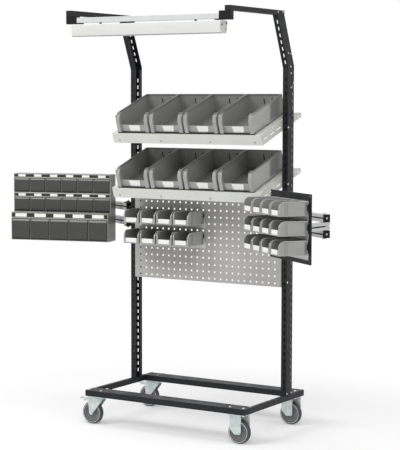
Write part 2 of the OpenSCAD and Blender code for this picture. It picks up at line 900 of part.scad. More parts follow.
module arm_pin(low, high) {
    translate([0, 0, low]) cylinder(r = pin_r, h = high - low);
    translate([0, 0, low - pin_head_h]) cylinder(r = pin_head_r, h = pin_head_h);
    translate([0, 0, high]) cylinder(r = pin_head_r, h = pin_head_h);
}

module pin_bore(low, high) {
    translate([0, 0, low - eps]) cylinder(r = pin_r + run_gap, h = high - low + 2 * eps);
}

// A clevis plate from a face at y = back to a round end at the pin
module clevis_plate(low, back) {
    difference() {
        union() {
            span([-clevis_r, back, low], [clevis_r, 0, low + bracket_t]);
            translate([0, 0, low]) cylinder(r = clevis_r, h = bracket_t);
        }
        pin_bore(low, low + bracket_t);
    }
}

stack_low = swing_z - 1.5 * stack_pitch - stack_gap / 2;
stack_high = swing_z + 1.5 * stack_pitch + stack_gap / 2;

module arm_bracket() {
    plate_high = stack_high + bracket_t;
    plate_low = stack_low - bracket_t;
    rise = 10;
    translate([shoulder_at, shoulder_y, 0]) {
        rotate([0, 0, -90]) {
            clevis_plate(plate_low, -shoulder_x);
            clevis_plate(stack_high, -shoulder_x);
            span([-clevis_r, -shoulder_x, plate_low - rise],
                 [clevis_r, bracket_t - shoulder_x, plate_high + rise]);
        }
        arm_pin(plate_low, plate_high);
    }
}

module arm_brackets() {
    color("#262628") pair() arm_bracket();
}

// A grooved square bar along X from one pin to the next
module arm_bar(l, z, over) {
    low = z - bar_s / 2;
    difference() {
        span([-over, -bar_s / 2, low], [l + over, bar_s / 2, low + bar_s]);
        for (s = [-1, 1]) translate([0, s * bar_s / 2, z])
            cube([2 * (l + over) + eps, 2 * groove_d, groove_w], center = true);
        for (x = [0, l]) translate([x, 0, 0]) pin_bore(low, low + bar_s);
    }
}

module at_bars(start, angle) {
    translate([start[0], start[1], 0]) rotate([0, 0, angle]) children();
}

module arm_bars() {
    for (s = [-1, 1]) arm_bar(upper_l, swing_z + s * stack_pitch, bar_over - cap_t);
}

module arm_caps() {
    for (s = [-1, 1], x = [-bar_over, upper_l + bar_over - cap_t]) {
        low = swing_z + s * stack_pitch - bar_s / 2;
        span([x, -bar_s / 2, low], [x + cap_t, bar_s / 2, low + bar_s]);
    }
}

module forearm() {
    arm_bar(fore_l, swing_z, bar_over);
    arm_pin(stack_low, stack_high);
}

// Clevis and pin at the wrist, in front of the pin, with a plate on what it carries
module wrist_clevis(half, height) {
    low = swing_z - bar_s / 2 - stack_gap - bracket_t;
    high = swing_z + bar_s / 2 + stack_gap;
    clevis_plate(low, carrier_t - wrist_off);
    clevis_plate(high, carrier_t - wrist_off);
    span([-half, -wrist_off, swing_z - height / 2], [half, carrier_t - wrist_off, swing_z + height / 2]);
    arm_pin(low, high + bracket_t);
}

module at_cabinet() {
    translate([left_wrist[0], left_wrist[1], 0]) rotate([0, 0, cabinet_turn]) children();
}

module at_louvre() {
    translate([right_wrist[0], right_wrist[1], 0]) rotate([0, 0, louvre_turn]) children();
}

module tilt_carrier() {
    carrier_half = 130;
    carrier_h = 240;
    color("#2b2b2d") at_cabinet() wrist_clevis(carrier_half, carrier_h);
}

// Tip-out cabinet: y = 0 is a housing's back, and it opens towards -y

function cell_pitch(n) = (cabinet_w - 2 * cabinet_wall + divider_t) / n;
function cell_x(n, i) = cabinet_wall - cabinet_w / 2 + i * cell_pitch(n);
function cell_w(n) = cell_pitch(n) - divider_t;
function pivot_y(d) = pivot_in - d;
pivot_z = cabinet_wall + pivot_up;

module at_row(z) {
    at_cabinet() translate([cabinet_shift, -wrist_off, z]) children();
}

module housing(n, d, h, band) {
    difference() {
        span([-cabinet_w / 2, -d, 0], [cabinet_w / 2, 0, h]);
        for (i = [0 : n - 1]) translate([cell_x(n, i), 0, 0]) {
            span([0, -d - eps, cabinet_wall], [cell_w(n), cabinet_wall - d + eps, h - band]);
            span([0, cabinet_wall - d, cabinet_wall], [cell_w(n), -cabinet_wall, h - cabinet_wall]);
        }
        translate([0, pivot_y(d), pivot_z]) rotate([0, 90, 0])
            cylinder(r = stub_r + run_gap, h = cabinet_w + 2 * eps, center = true);
    }
}

module six_bin_housings() {
    color("#6e7067") for (z = six_zs) at_row(z) housing(six_count, six_d, six_h, six_band);
}

module five_bin_housing() {
    color("#6e7067") at_row(cabinet_z) housing(five_count, five_d, five_h, five_band);
}

// Side of a tip-out bin about its pivot, inside the circle that clears the label band
module tip_side(r) {
    back_z = back_share * r;
    back_y = sqrt(r * r - back_z * back_z);
    circle(r = pivot_in);
    intersection() {
        circle(r = r);
        polygon([[-pivot_in, 0], [-pivot_in, r], [r, r], [r, back_z], [back_y, back_z],
                 [floor_share * r, -pivot_in], [0, -pivot_in]]);
    }
}

// Raised front of a tip-out bin, bevelled above for the fingers
module tip_pad(r) {
    polygon([[tip_wall / 2 - pivot_in, pad_edge], [-pivot_in - pad_t, pad_edge + pad_t],
             [-pivot_in - pad_t, r - pad_edge - grip_share * r], [tip_wall / 2 - pivot_in, r - pad_edge]]);
}

module tip_hollow(r) {
    back_z = back_share * r;
    back_y = sqrt(r * r - back_z * back_z);
    inner = tip_wall - pivot_in;
    polygon([[inner, inner], [inner, r + eps], [r + eps, r + eps], [r + eps, back_z + eps],
             [back_y - tip_wall, back_z + eps], [floor_share * r - tip_wall, inner]]);
}

module tip_bin(n, i, d, h, band) {
    r = min(h - band - pivot_z, d - cabinet_wall - pivot_in) - tip_gap;
    w = cell_w(n) - 2 * bin_side_gap;
    stub_l = w + 2 * bin_side_gap + 2 * stub_in;
    stub_root = 1;
    translate([cell_x(n, i) + cell_w(n) / 2, pivot_y(d), pivot_z]) {
        difference() {
            translate([-w / 2, 0, 0]) along_x(w) tip_side(r);
            translate([tip_wall - w / 2, 0, 0]) along_x(w - 2 * tip_wall) tip_hollow(r);
        }
        translate([pad_in - w / 2, 0, 0]) along_x(w - 2 * pad_in) tip_pad(r);
        for (s = [-1, 1]) translate([s * (stub_l / 2 + w / 2 - stub_root) / 2, 0, 0]) rotate([0, 90, 0])
            cylinder(r = stub_r, h = stub_l / 2 - w / 2 + stub_root, center = true);
    }
}

module six_bin(row, i) {
    color("#52524e") at_row(six_zs[row]) tip_bin(six_count, i, six_d, six_h, six_band);
}

module five_bin(i) {
    color("#52524e") at_row(cabinet_z) tip_bin(five_count, i, five_d, five_h, five_band);
}

// Louvre panel: y = 0 is the frame's back, and the bins hang towards -y

module at_louvre_face() {
    at_louvre() translate([louvre_shift, -wrist_off, louvre_z]) children();
}

module louvre_frame() {
    clevis_half = 60;
    clevis_h = 160;
    border_t = 2;
    color("#38383b") {
        at_louvre_face() difference() {
            span([-louvre_w / 2, -border_d, 0], [louvre_w / 2, 0, louvre_h]);
            span([border_w - louvre_w / 2, -border_d - eps, border_w],
                 [louvre_w / 2 - border_w, -border_t, louvre_h - border_top]);
        }
        at_louvre() wrist_clevis(clevis_half, clevis_h);
    }
}

module each_louvre_row() {
    row_lift = 6;
    first = border_w + row_lift;
    for (k = [0 : louvre_rows - 1]) translate([0, -border_d / 2, first + k * louvre_pitch]) children();
}

module louvre_sheet() {
    slack = 0.5;
    border_t = 2;
    half = louvre_w / 2 - border_w - slack;
    color("#bdbdb8") at_louvre_face() {
        span([-half, -border_d / 2, border_w + slack], [half, -border_t, louvre_h - border_top - slack]);
        intersection() {
            each_louvre_row() translate([-half, 0, 0]) along_x(2 * half) rail_section();
            span([-half, -louvre_w, border_w + slack], [half, 0, louvre_h]);
        }
    }
}

module louvre_bins() {
    color("#a8a8a4") at_louvre_face() each_louvre_row()
        translate([-bin_count * small_pitch / 2, 0, 0]) hanging_row();
}

place() {
    cross_rails();
    side_rails();
    uprights();
    perforated_panel();
    shelves();
    shelf_brackets();
    shelf_bins();
    bin_rails();
    rail_bins();
    light_arms();
    light_blocks();
    light_bar();
    lamp_hangers();
    lamp_housing();
    lamp_lens();
    caster_bolts();
    swivel_plates();
    fixed_forks();
    arm_brackets();
    color("#c6d6d2") at_swivel(caster_front_y) swivel_fork();  // front_swivel_fork
    color("#c6d6d2") at_swivel(caster_rear_y) swivel_fork();  // rear_swivel_fork
    color("#c6d6d2") at_swivel(caster_front_y) brake_pedal();  // front_brake_pedal
    color("#c6d6d2") at_swivel(caster_rear_y) brake_pedal();  // rear_brake_pedal
    color("#8a8a88") at_swivel_wheel(caster_front_y) wheel();  // front_left_wheel
    color("#8a8a88") at_swivel_wheel(caster_rear_y) wheel();  // rear_left_wheel
    color("#8a8a88") at_fixed_wheel(caster_front_y) wheel();  // front_right_wheel
    color("#8a8a88") at_fixed_wheel(caster_rear_y) wheel();  // rear_right_wheel
    color("#464648") at_swivel_wheel(caster_front_y) tyre();  // front_left_tyre
    color("#464648") at_swivel_wheel(caster_rear_y) tyre();  // rear_left_tyre
    color("#464648") at_fixed_wheel(caster_front_y) tyre();  // front_right_tyre
    color("#464648") at_fixed_wheel(caster_rear_y) tyre();  // rear_right_tyre
    color("#b4b5b4") at_bars(left_shoulder, left_upper_heading) arm_bars();  // left_arm_bars
    color("#262628") at_bars(left_shoulder, left_upper_heading) arm_caps();  // left_arm_caps
    color("#b4b5b4") at_bars(left_elbow, left_fore_heading) forearm();  // left_forearm
    color("#b4b5b4") at_bars(right_shoulder, right_upper_heading) arm_bars();  // right_arm_bars
    color("#262628") at_bars(right_shoulder, right_upper_heading) arm_caps();  // right_arm_caps
    color("#b4b5b4") at_bars(right_elbow, right_fore_heading) forearm();  // right_forearm
    tilt_carrier();
    six_bin_housings();
    five_bin_housing();
    louvre_frame();
    louvre_sheet();
    louvre_bins();
    for (row = [0, 1], i = [0 : six_count - 1])
        six_bin(row, i);
    for (i = [0 : five_count - 1])
        five_bin(i);
}
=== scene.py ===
import math

import bmesh
import bpy
from mathutils import Matrix, Vector
from mathutils.geometry import tessellate_polygon

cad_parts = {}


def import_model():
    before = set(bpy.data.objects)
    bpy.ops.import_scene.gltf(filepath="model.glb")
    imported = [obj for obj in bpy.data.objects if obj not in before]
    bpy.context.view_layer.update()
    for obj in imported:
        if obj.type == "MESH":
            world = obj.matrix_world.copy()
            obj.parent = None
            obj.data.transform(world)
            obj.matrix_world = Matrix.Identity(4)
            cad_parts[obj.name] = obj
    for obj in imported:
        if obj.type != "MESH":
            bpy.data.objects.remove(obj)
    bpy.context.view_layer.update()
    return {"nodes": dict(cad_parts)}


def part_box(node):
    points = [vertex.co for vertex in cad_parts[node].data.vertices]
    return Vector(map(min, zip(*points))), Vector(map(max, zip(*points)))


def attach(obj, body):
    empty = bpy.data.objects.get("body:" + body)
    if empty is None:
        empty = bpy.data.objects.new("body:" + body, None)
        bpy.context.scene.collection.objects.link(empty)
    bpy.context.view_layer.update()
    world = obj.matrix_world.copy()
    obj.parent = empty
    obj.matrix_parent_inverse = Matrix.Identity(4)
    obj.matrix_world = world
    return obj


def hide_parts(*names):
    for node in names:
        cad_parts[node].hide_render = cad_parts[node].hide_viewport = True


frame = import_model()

MM = 0.001
I4 = Matrix.Identity(4)

# The cart's own zero: the middle of the base, the panel's front face and the floor

rails_lo, rails_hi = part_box("cross_rails")
ZERO_X = (rails_lo[0] + rails_hi[0]) / 2
ZERO_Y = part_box("perforated_panel")[0][1]
TO_SCENE = Matrix.Translation((ZERO_X, ZERO_Y, 0)) @ Matrix.Scale(MM, 4)


def move(x, y, z):
    return Matrix.Translation((x, y, z))


def turn(degrees, axis):
    return Matrix.Rotation(math.radians(degrees), 4, axis)


# Materials

MIX_A, MIX_B, MIX_OUT = 6, 7, 2
NOISE_ROUGH = 0.55
EDGE_SAMPLES, EDGE_RANGE = 4, (0.80, 0.995)
CORNER_SAMPLES, CORNER_RANGE = 6, (0.15, 0.62)
UPWARD_RANGE = (0.45, 0.85)


class Nodes:
    """Small helper that adds and links shader nodes of one material."""

    def __init__(self, name):
        self.mat = bpy.data.materials.new(name)
        self.mat.use_nodes = True
        self.tree = self.mat.node_tree
        self.bsdf = self.tree.nodes["Principled BSDF"]
        self.coords = self.tree.nodes.new("ShaderNodeTexCoord").outputs["Object"]

    def add(self, kind, **values):
        """A new node, with its settings and the constants of its inputs."""
        node = self.tree.nodes.new(kind)
        for key, value in values.items():
            if hasattr(node, key):
                setattr(node, key, value)
            else:
                node.inputs[key.replace("_", " ").title()].default_value = value
        return node

    def link(self, a, b):
        self.tree.links.new(a, b)

    def noise(self, scale, detail, stretch=None):
        node = self.add("ShaderNodeTexNoise", scale=scale, detail=detail, roughness=NOISE_ROUGH)
        vector = self.coords
        if stretch is not None:
            mapping = self.add("ShaderNodeMapping", scale=stretch)
            self.link(vector, mapping.inputs["Vector"])
            vector = mapping.outputs["Vector"]
        self.link(vector, node.inputs["Vector"])
        return node.outputs["Fac"]

    def spread(self, fac, low, high, a=0.35, b=0.65):
        """Maps a to b of a factor onto low to high."""
        node = self.add("ShaderNodeMapRange", from_min=a, from_max=b, to_min=low, to_max=high)
        self.link(fac, node.inputs["Value"])
        return node.outputs["Result"]

    def mix(self, fac, a, b):
        node = self.add("ShaderNodeMix", data_type="RGBA")
        self.link(fac, node.inputs["Factor"])
        for socket, value in ((node.inputs[MIX_A], a), (node.inputs[MIX_B], b)):
            if isinstance(value, tuple):
                socket.default_value = (*value, 1)
            else:
                self.link(value, socket)
        return node.outputs[MIX_OUT]

    def drift(self, fac, rgb, share, *span):
        """A colour that drifts by a share to the darker and the paler side."""
        fac = self.spread(fac, 0, 1, *span)
        return self.mix(fac, shade(rgb, 1 - share), shade(rgb, 1 + share))

    def edges(self, radius, high):
        """How near a sharp edge a point is, from the turned normal of a small bevel."""
        bevel = self.add("ShaderNodeBevel", samples=EDGE_SAMPLES, radius=radius)
        geometry = self.add("ShaderNodeNewGeometry")
        dot = self.add("ShaderNodeVectorMath", operation="DOT_PRODUCT")
        self.link(bevel.outputs["Normal"], dot.inputs[0])
        self.link(geometry.outputs["Normal"], dot.inputs[1])
        return self.spread(dot.outputs["Value"], high, 0, *EDGE_RANGE)

    def corners(self, distance):
        """How deep in a corner or a box a point lies: 0 in the open, 1 well inside."""
        node = self.add("ShaderNodeAmbientOcclusion", samples=CORNER_SAMPLES, distance=distance)
        return self.spread(node.outputs["AO"], 1, 0, *CORNER_RANGE)

    def upward(self):
        """0 on upright and hanging faces, 1 on faces that look up."""
        normal = self.add("ShaderNodeNewGeometry").outputs["Normal"]
        split = self.add("ShaderNodeSeparateXYZ")
        self.link(normal, split.inputs["Vector"])
        return self.spread(split.outputs["Z"], 0, 1, *UPWARD_RANGE)

    def feed(self, name, value):
        """Gives one of the shader's own sockets a constant or a link."""
        socket = self.bsdf.inputs[name]
        if isinstance(value, (int, float)):
            socket.default_value = value
        else:
            self.link(value, socket)

    def bump(self, height, strength, distance):
        node = self.add("ShaderNodeBump", strength=strength, distance=distance)
        self.link(height, node.inputs["Height"])
        self.feed("Normal", node.outputs["Normal"])


def shade(rgb, factor):
    return tuple(min(1.0, c * factor) for c in rgb)


def srgb(r, g, b):
    """Linear colour of an ordinary screen colour."""
    return tuple((c / 255) / 12.92 if c < 10.3 else (((c / 255) + 0.055) / 1.055) ** 2.4
                 for c in (r, g, b))


COAT_WEAR, COAT_GRAIN_H = 0.0012, 0.0004
MOULD_WEAR, MOULD_GRAIN, MOULD_GRAIN_H, GAP_SHADE_REACH = 0.0009, 2200, 0.0003, 0.025
METAL_LINES, METAL_BUMP, METAL_LINE_H = (1, 1, 12), 0.08, 0.0002
TREAD_GRAIN, TREAD_BUMP, TREAD_GRAIN_H = 700, 0.25, 0.0004


def coated(name, rgb, rough, grain=1400, bump=0.12, vary=0.10, edge=1.35, specular=0.5):
    """Powder coat or enamel: orange-peel grain, soft cloudiness and paler worn edges."""
    n = Nodes(name)
    cloud, smear = n.noise(7, 4), n.noise(23, 5)
    base = n.drift(cloud, rgb, vary)
    n.feed("Base Color", n.mix(n.edges(COAT_WEAR, 1), base, shade(rgb, edge)))
    n.feed("Roughness", n.spread(smear, rough - 0.06, rough + 0.08))
    n.feed("Specular IOR Level", specular)
    n.bump(n.noise(grain, 2), bump, COAT_GRAIN_H)
    return n.mat


def moulded(name, rgb, rough, vary=0.07, edge=1.25, bump=0.10, specular=0.5, dust=0.35,
            corner_shade=0.0, shade_reach=0.16, upward_shade=0.0, gap_shade=0.0):
    """Injection-moulded plastic: fine spark grain, faint flow marks and rubbed edges.

    It can have pale dust, and painted shade that darkens it within reach of corners, in the gaps
    between neighbours and on faces that look up."""
    n = Nodes(name)
    flow, gloss = n.noise(5, 5, stretch=(1, 1, 3.5)), n.noise(40, 4)
    base = n.drift(flow, rgb, vary)
    if dust > 0:
        base = n.mix(n.spread(n.noise(90, 6), 0, dust, 0.45, 0.75), base, shade(rgb, 1.18))
    # Painted shade: darker within reach of corners.
    if corner_shade > 0:
        base = n.mix(n.corners(shade_reach), base, shade(rgb, 1 - corner_shade))
    # Painted shade: darker in the narrow gaps between neighbours.
    if gap_shade > 0:
        base = n.mix(n.corners(GAP_SHADE_REACH), base, shade(rgb, 1 - gap_shade))
    # Painted shade: darker on faces that look up.
    if upward_shade > 0:
        base = n.mix(n.upward(), base, shade(rgb, 1 - upward_shade))
    n.feed("Base Color", n.mix(n.edges(MOULD_WEAR, 0.8), base, shade(rgb, edge)))
    n.feed("Roughness", n.spread(gloss, rough - 0.07, rough + 0.07))
    n.feed("Specular IOR Level", specular)
    n.bump(n.noise(MOULD_GRAIN, 2), bump, MOULD_GRAIN_H)
    return n.mat


def metal(name, rgb, rough, metallic, spangle=55, vary=0.10):
    """Plated or drawn metal: crystal patches, fine draw lines and patchy gloss."""
    n = Nodes(name)
    cells = n.add("ShaderNodeTexVoronoi", scale=spangle)
    n.link(n.coords, cells.inputs["Vector"])
    grey = n.add("ShaderNodeRGBToBW")
    n.link(cells.outputs["Color"], grey.inputs["Color"])
    n.feed("Base Color", n.drift(grey.outputs["Val"], rgb, vary, 0.2, 0.8))
    n.feed("Metallic", metallic)
    lines = n.noise(160, 4, stretch=METAL_LINES)
    n.feed("Roughness", n.spread(lines, rough - 0.08, rough + 0.10))
    n.bump(lines, METAL_BUMP, METAL_LINE_H)
    return n.mat


def rubber(name, rgb):
    """Tread rubber: pale scuffs, dull patches and a coarse grain."""
    n = Nodes(name)
    scuff, gloss = n.noise(60, 6), n.noise(25, 4)
    n.feed("Base Color", n.mix(n.spread(scuff, 0, 1), shade(rgb, 0.85), shade(rgb, 1.25)))
    n.feed("Roughness", n.spread(gloss, 0.55, 0.75))
    n.bump(n.noise(TREAD_GRAIN, 3), TREAD_BUMP, TREAD_GRAIN_H)
    return n.mat


M = {
    "frame": coated("charcoal_powder_coat", srgb(30, 31, 34), 0.50, edge=1.8, specular=0.25),
    "shelf": coated("light_grey_powder_coat", srgb(222, 223, 217), 0.42, vary=0.03, edge=1.04),
    "panel": coated("panel_grey_powder_coat", srgb(181, 180, 177), 0.45, vary=0.03, edge=1.05),
    "louvre": coated("louvre_grey_powder_coat", srgb(226, 226, 222), 0.45, vary=0.03, edge=1.05),
    "zinc": metal("zinc_plate", srgb(206, 215, 213), 0.42, 0.55),
    "bolt": metal("bright_zinc", srgb(226, 226, 222), 0.28, 0.8),
    "tyre": rubber("grey_tread", srgb(74, 74, 77)),
    "hub": moulded("hub_plastic", srgb(112, 114, 115), 0.45),
    # The bin plastics carry painted shade: darker within reach of corners and on faces that look
    # up, and for the small bins also in the gaps between neighbours.
    "bin": moulded("bin_plastic", srgb(168, 168, 166), 0.42, corner_shade=0.20, shade_reach=0.35,
                   upward_shade=0.60),
    "small_bin": moulded("small_bin_plastic", srgb(166, 166, 164), 0.42, corner_shade=0.25,
                         upward_shade=0.3, gap_shade=0.85),
    "tip": moulded("tip_out_plastic", srgb(70, 70, 68), 0.40, vary=0.05, edge=1.5,
                   specular=0.30, dust=0, bump=0.03),
    "housing": moulded("housing_plastic", srgb(110, 112, 103), 0.42, edge=1.6, specular=0.35),
    "alu": metal("anodised_aluminium", srgb(212, 213, 213), 0.42, 0.3, spangle=20, vary=0.03),
    "fitting": coated("black_coated_steel", srgb(20, 20, 22), 0.45, edge=1.8, specular=0.25),
    "cap": moulded("black_cap_plastic", srgb(17, 17, 18), 0.50, edge=1.7, specular=0.22,
                   dust=0.1),
    "lamp": coated("white_enamel", srgb(228, 229, 224), 0.40, vary=0.015, edge=1.0, grain=900,
                   bump=0.05),
    "lens": moulded("opal_diffuser", srgb(246, 246, 241), 0.35, vary=0.01, edge=1.0),
    "label": moulded("label_card", srgb(246, 246, 241), 0.55, vary=0.015, edge=1.0),
    "dark": moulded("shadow_black_plastic", srgb(22, 22, 23), 0.6, edge=1.2),
    # A paler copy of the bin plastic as painted light on rims, pads, holders and ribs; darker
    # within reach of corners as painted shade.
    "rim": moulded("bin_rim_plastic_lit_copy", srgb(184, 184, 182), 0.40, corner_shade=0.4),
    # A darker copy of the bin plastic as painted shade on the top flanges of the large bins.
    "flange": moulded("bin_flange_plastic_shaded_copy", srgb(108, 108, 106), 0.45, dust=0.1),
    # A paler copy of the bin plastic as painted light on the small bins' top flanges; darker in
    # narrow gaps as painted shade.
    "small_rim": moulded("small_bin_rim_plastic_lit_copy", srgb(186, 186, 184), 0.40, gap_shade=0.85),
    # Darker copies of the bin plastic as painted shade: on the middle of the large bins' side pads
    # and on the small bins' heels.
    "recess_shade": moulded("bin_plastic_deep_shade", srgb(130, 130, 128), 0.5),
    "shallow_shade": moulded("bin_plastic_half_shade", srgb(150, 150, 148), 0.46),
    # A darker copy of the bin plastic as painted shade in the seams and steps of the small bins'
    # sides; darker still in narrow gaps.
    "groove": moulded("bin_groove_plastic", srgb(112, 112, 110), 0.5, gap_shade=0.85),
    "divider": moulded("housing_divider_plastic", srgb(150, 151, 143), 0.45),
    "trim": moulded("housing_trim_plastic", srgb(190, 191, 182), 0.40),
    "patch": moulded("label_band_insert", srgb(50, 50, 47), 0.5, edge=1.9, specular=0.3),
    # A paler copy of the tip-out plastic as painted light on the strip along the top of each front.
    "tip_edge": moulded("tip_out_grip", srgb(122, 122, 118), 0.40),
    "ring": metal("wheel_ring", srgb(192, 193, 191), 0.34, 0.4),
}

# Building pieces

SMOOTH_ANGLE, BEVEL_ANGLE, FLAT_ANGLE = (math.radians(a) for a in (35, 40, 0.5))
WELD = 1e-6


def finish_mesh(obj, bevel):
    """Smooth shading between sharp edges, and edges rounded by bevel millimetres."""
    mesh = obj.data
    for poly in mesh.polygons:
        poly.use_smooth = True
    if bevel > 0:
        mod = obj.modifiers.new("edge", "BEVEL")
        mod.width = bevel * MM
        mod.segments = 2
        mod.limit_method = "ANGLE"
        mod.angle_limit = BEVEL_ANGLE
    bm = bmesh.new()
    bm.from_mesh(mesh)
    flags = [len(e.link_faces) != 2 or e.calc_face_angle(0) > SMOOTH_ANGLE for e in bm.edges]
    bm.free()
    sharp = mesh.attributes.get("sharp_edge")
    sharp = sharp or mesh.attributes.new("sharp_edge", "BOOLEAN", "EDGE")
    sharp.data.foreach_set("value", flags)
    if bevel > 0:
        weighted = obj.modifiers.new("normals", "WEIGHTED_NORMAL")
        weighted.keep_sharp = True


def place(obj, body, nodes=()):
    bpy.context.scene.collection.objects.link(obj)
    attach(obj, body)
    if nodes:
        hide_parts(*nodes)


def flat_loop(pts):
    return [Vector((x, y, 0)) for x, y in pts]


def circle(sides):
    angles = [2 * math.pi * i / sides for i in range(sides)]
    return [(math.cos(a), math.sin(a)) for a in angles]


class Piece:
    """Collects solids, in millimetres of the cart's frame, and makes one object of them."""

    def __init__(self):
        self.bm = bmesh.new()

    def vert(self, at, x, y, z):
        return self.bm.verts.new(at @ Vector((x, y, z)))

    def close(self, faces, mat):
        """Turns the faces of a new solid outwards and gives them a material."""
        bmesh.ops.recalc_face_normals(self.bm, faces=faces)
        for f in faces:
            f.material_index = mat

    def prism(self, outer, depth, at=I4, mat=0):
        """A flat outline in local XY, thickened along local Z."""
        loop = flat_loop(outer)
        low = [self.vert(at, p.x, p.y, 0) for p in loop]
        high = [self.vert(at, p.x, p.y, depth) for p in loop]
        made = []
        for a, b, c in tessellate_polygon([loop]):
            if len({a, b, c}) < 3:
                continue
            made.append(self.bm.faces.new((low[a], low[b], low[c])))
            made.append(self.bm.faces.new((high[c], high[b], high[a])))
        for i in range(len(loop)):
            j = (i + 1) % len(loop)
            made.append(self.bm.faces.new((low[i], low[j], high[j], high[i])))
        self.close(made, mat)

    def box(self, lo, hi, at=I4, mat=0):
        self.prism(rect(lo[0], lo[1], hi[0], hi[1]), hi[2] - lo[2], at @ move(0, 0, lo[2]), mat)

    def cylinder(self, r, h, at=I4, sides=24, mat=0, top=None):
        """A cylinder from local z = 0 up, or a cone frustum if its top radius differs."""
        top = r if top is None else top
        low = [self.vert(at, r * x, r * y, 0) for x, y in circle(sides)]
        high = [self.vert(at, top * x, top * y, h) for x, y in circle(sides)]
        made = [self.bm.faces.new(tuple(reversed(low))), self.bm.faces.new(tuple(high))]
        for i in range(sides):
            j = (i + 1) % sides
            made.append(self.bm.faces.new((low[i], low[j], high[j], high[i])))
        self.close(made, mat)

    def lathe(self, profile, at=I4, sides=64, mat=0):
        """Turns a closed profile of (radius, height) about local Z."""
        rings = [[self.vert(at, r * x, r * y, z) for r, z in profile] for x, y in circle(sides)]
        made = []
        n = len(profile)
        for i in range(sides):
            a, b = rings[i], rings[(i + 1) % sides]
            for k in range(n):
                q = (k + 1) % n
                made.append(self.bm.faces.new((a[k], b[k], b[q], a[q])))
        self.close(made, mat)

    def make(self, name, body, mats, bevel=0.0, nodes=()):
        mesh = bpy.data.meshes.new(name)
        self.bm.transform(TO_SCENE)
        self.bm.to_mesh(mesh)
        self.bm.free()
        for key in mats:
            mesh.materials.append(M[key])
        obj = bpy.data.objects.new(name, mesh)
        finish_mesh(obj, bevel)
        place(obj, body, nodes)


def coat(mesh, material):
    """One of the materials above for a whole mesh."""
    mesh.materials.clear()
    mesh.materials.append(M[material])
    for poly in mesh.polygons:
        poly.material_index = 0


def dress(node, body, material, bevel):
    """A copy of a CAD node with its flat faces joined and its edges softened."""
    source = frame["nodes"][node]
    mesh = source.data.copy()
    mesh.transform(source.matrix_world)
    bm = bmesh.new()
    bm.from_mesh(mesh)
    bmesh.ops.remove_doubles(bm, verts=bm.verts, dist=WELD)
    bmesh.ops.dissolve_limit(bm, angle_limit=FLAT_ANGLE, verts=bm.verts, edges=bm.edges)
    bm.to_mesh(mesh)
    bm.free()
    coat(mesh, material)
    obj = bpy.data.objects.new(node + "_dressed", mesh)
    finish_mesh(obj, bevel)
    place(obj, body, (node,))


# Nodes carried over from the solids with softened edges, and two that only get a material

for node, body, slot, material, bevel in (
        ("cross_rails", "frame", "frame_steel", "frame", 1.2),
        ("side_rails", "frame", "frame_steel", "frame", 1.2),
        ("light_arms", "frame", "frame_steel", "frame", 1.2),
        ("light_blocks", "frame", "black_plastic", "cap", 1.5),
        ("light_bar", "frame", "aluminium", "alu", 0.8),
        ("lamp_hangers", "frame", "black_plastic", "cap", 0.8),
        ("lamp_housing", "frame", "lamp_white", "lamp", 2.0),
        ("lamp_lens", "frame", "lens", "lens", 0.5),
        ("shelves", "frame", "light_sheet", "shelf", 0.6),
        ("shelf_brackets", "frame", "light_sheet", "shelf", 0.5),
        ("bin_rails", "frame", "light_sheet", "shelf", 0.5),
        ("caster_bolts", "frame", "bolt", "bolt", 0.5),
        ("swivel_plates", "frame", "zinc", "zinc", 0.6),
        ("fixed_forks", "frame", "zinc", "zinc", 0.6),
        ("arm_brackets", "frame", "black_fitting", "fitting", 0.7),
        ("front_swivel_fork", "front_swivel", "zinc", "zinc", 0.6),
        ("rear_swivel_fork", "rear_swivel", "zinc", "zinc", 0.6),
        ("front_brake_pedal", "front_pedal", "zinc", "zinc", 0.6),
        ("rear_brake_pedal", "rear_pedal", "zinc", "zinc", 0.6),
        ("left_arm_bars", "left_upper_arm", "aluminium", "alu", 0.8),
        ("right_arm_bars", "right_upper_arm", "aluminium", "alu", 0.8),
        ("left_arm_caps", "left_upper_arm", "black_plastic", "cap", 1.2),
        ("right_arm_caps", "right_upper_arm", "black_plastic", "cap", 1.2),
        ("left_forearm", "left_lower_arm", "aluminium", "alu", 0.8),
        ("right_forearm", "right_lower_arm", "aluminium", "alu", 0.8),
        ("tilt_carrier", "tip_out_cabinet", "black_fitting", "fitting", 0.8),
        ("six_bin_housings", "tip_out_cabinet", "housing", "housing", 0.8),
        ("five_bin_housing", "tip_out_cabinet", "housing", "housing", 0.8),
        ("louvre_frame", "louvre_panel", "frame_steel", "frame", 1.0),
        ("louvre_sheet", "louvre_panel", "panel_sheet", "louvre", 0.5),
        ("shelf_bins", "frame", "bin_plastic", "bin", 0.5),
        ("rail_bins", "frame", "bin_plastic", "small_bin", 0.5),
        ("louvre_bins", "louvre_panel", "bin_plastic", "small_bin", 0.5)):
    dress(node, body, material, bevel)
coat(frame["nodes"]["uprights"].data, "frame")
coat(frame["nodes"]["perforated_panel"].data, "panel")

# Drawing: planes that face the front or the side, and outlines and solids that recur


def front(y):
    """An outline of width and height, thickened towards the front."""
    return Matrix(((1, 0, 0, 0), (0, 0, -1, y), (0, 1, 0, 0), (0, 0, 0, 1)))


def side(x):
    """An outline of depth and height, thickened towards the right."""
    return Matrix(((0, 0, 1, x), (1, 0, 0, 0), (0, 1, 0, 0), (0, 0, 0, 1)))


def rect(x0, z0, x1, z1):
    return ((x0, z0), (x1, z0), (x1, z1), (x0, z1))


def arc(cx, cy, r, a0, a1, steps):
    angles = [math.radians(a0 + (a1 - a0) * i / steps) for i in range(steps + 1)]
    return [(cx + r * math.cos(a), cy + r * math.sin(a)) for a in angles]


ROUND, HEXAGON = 18, 6


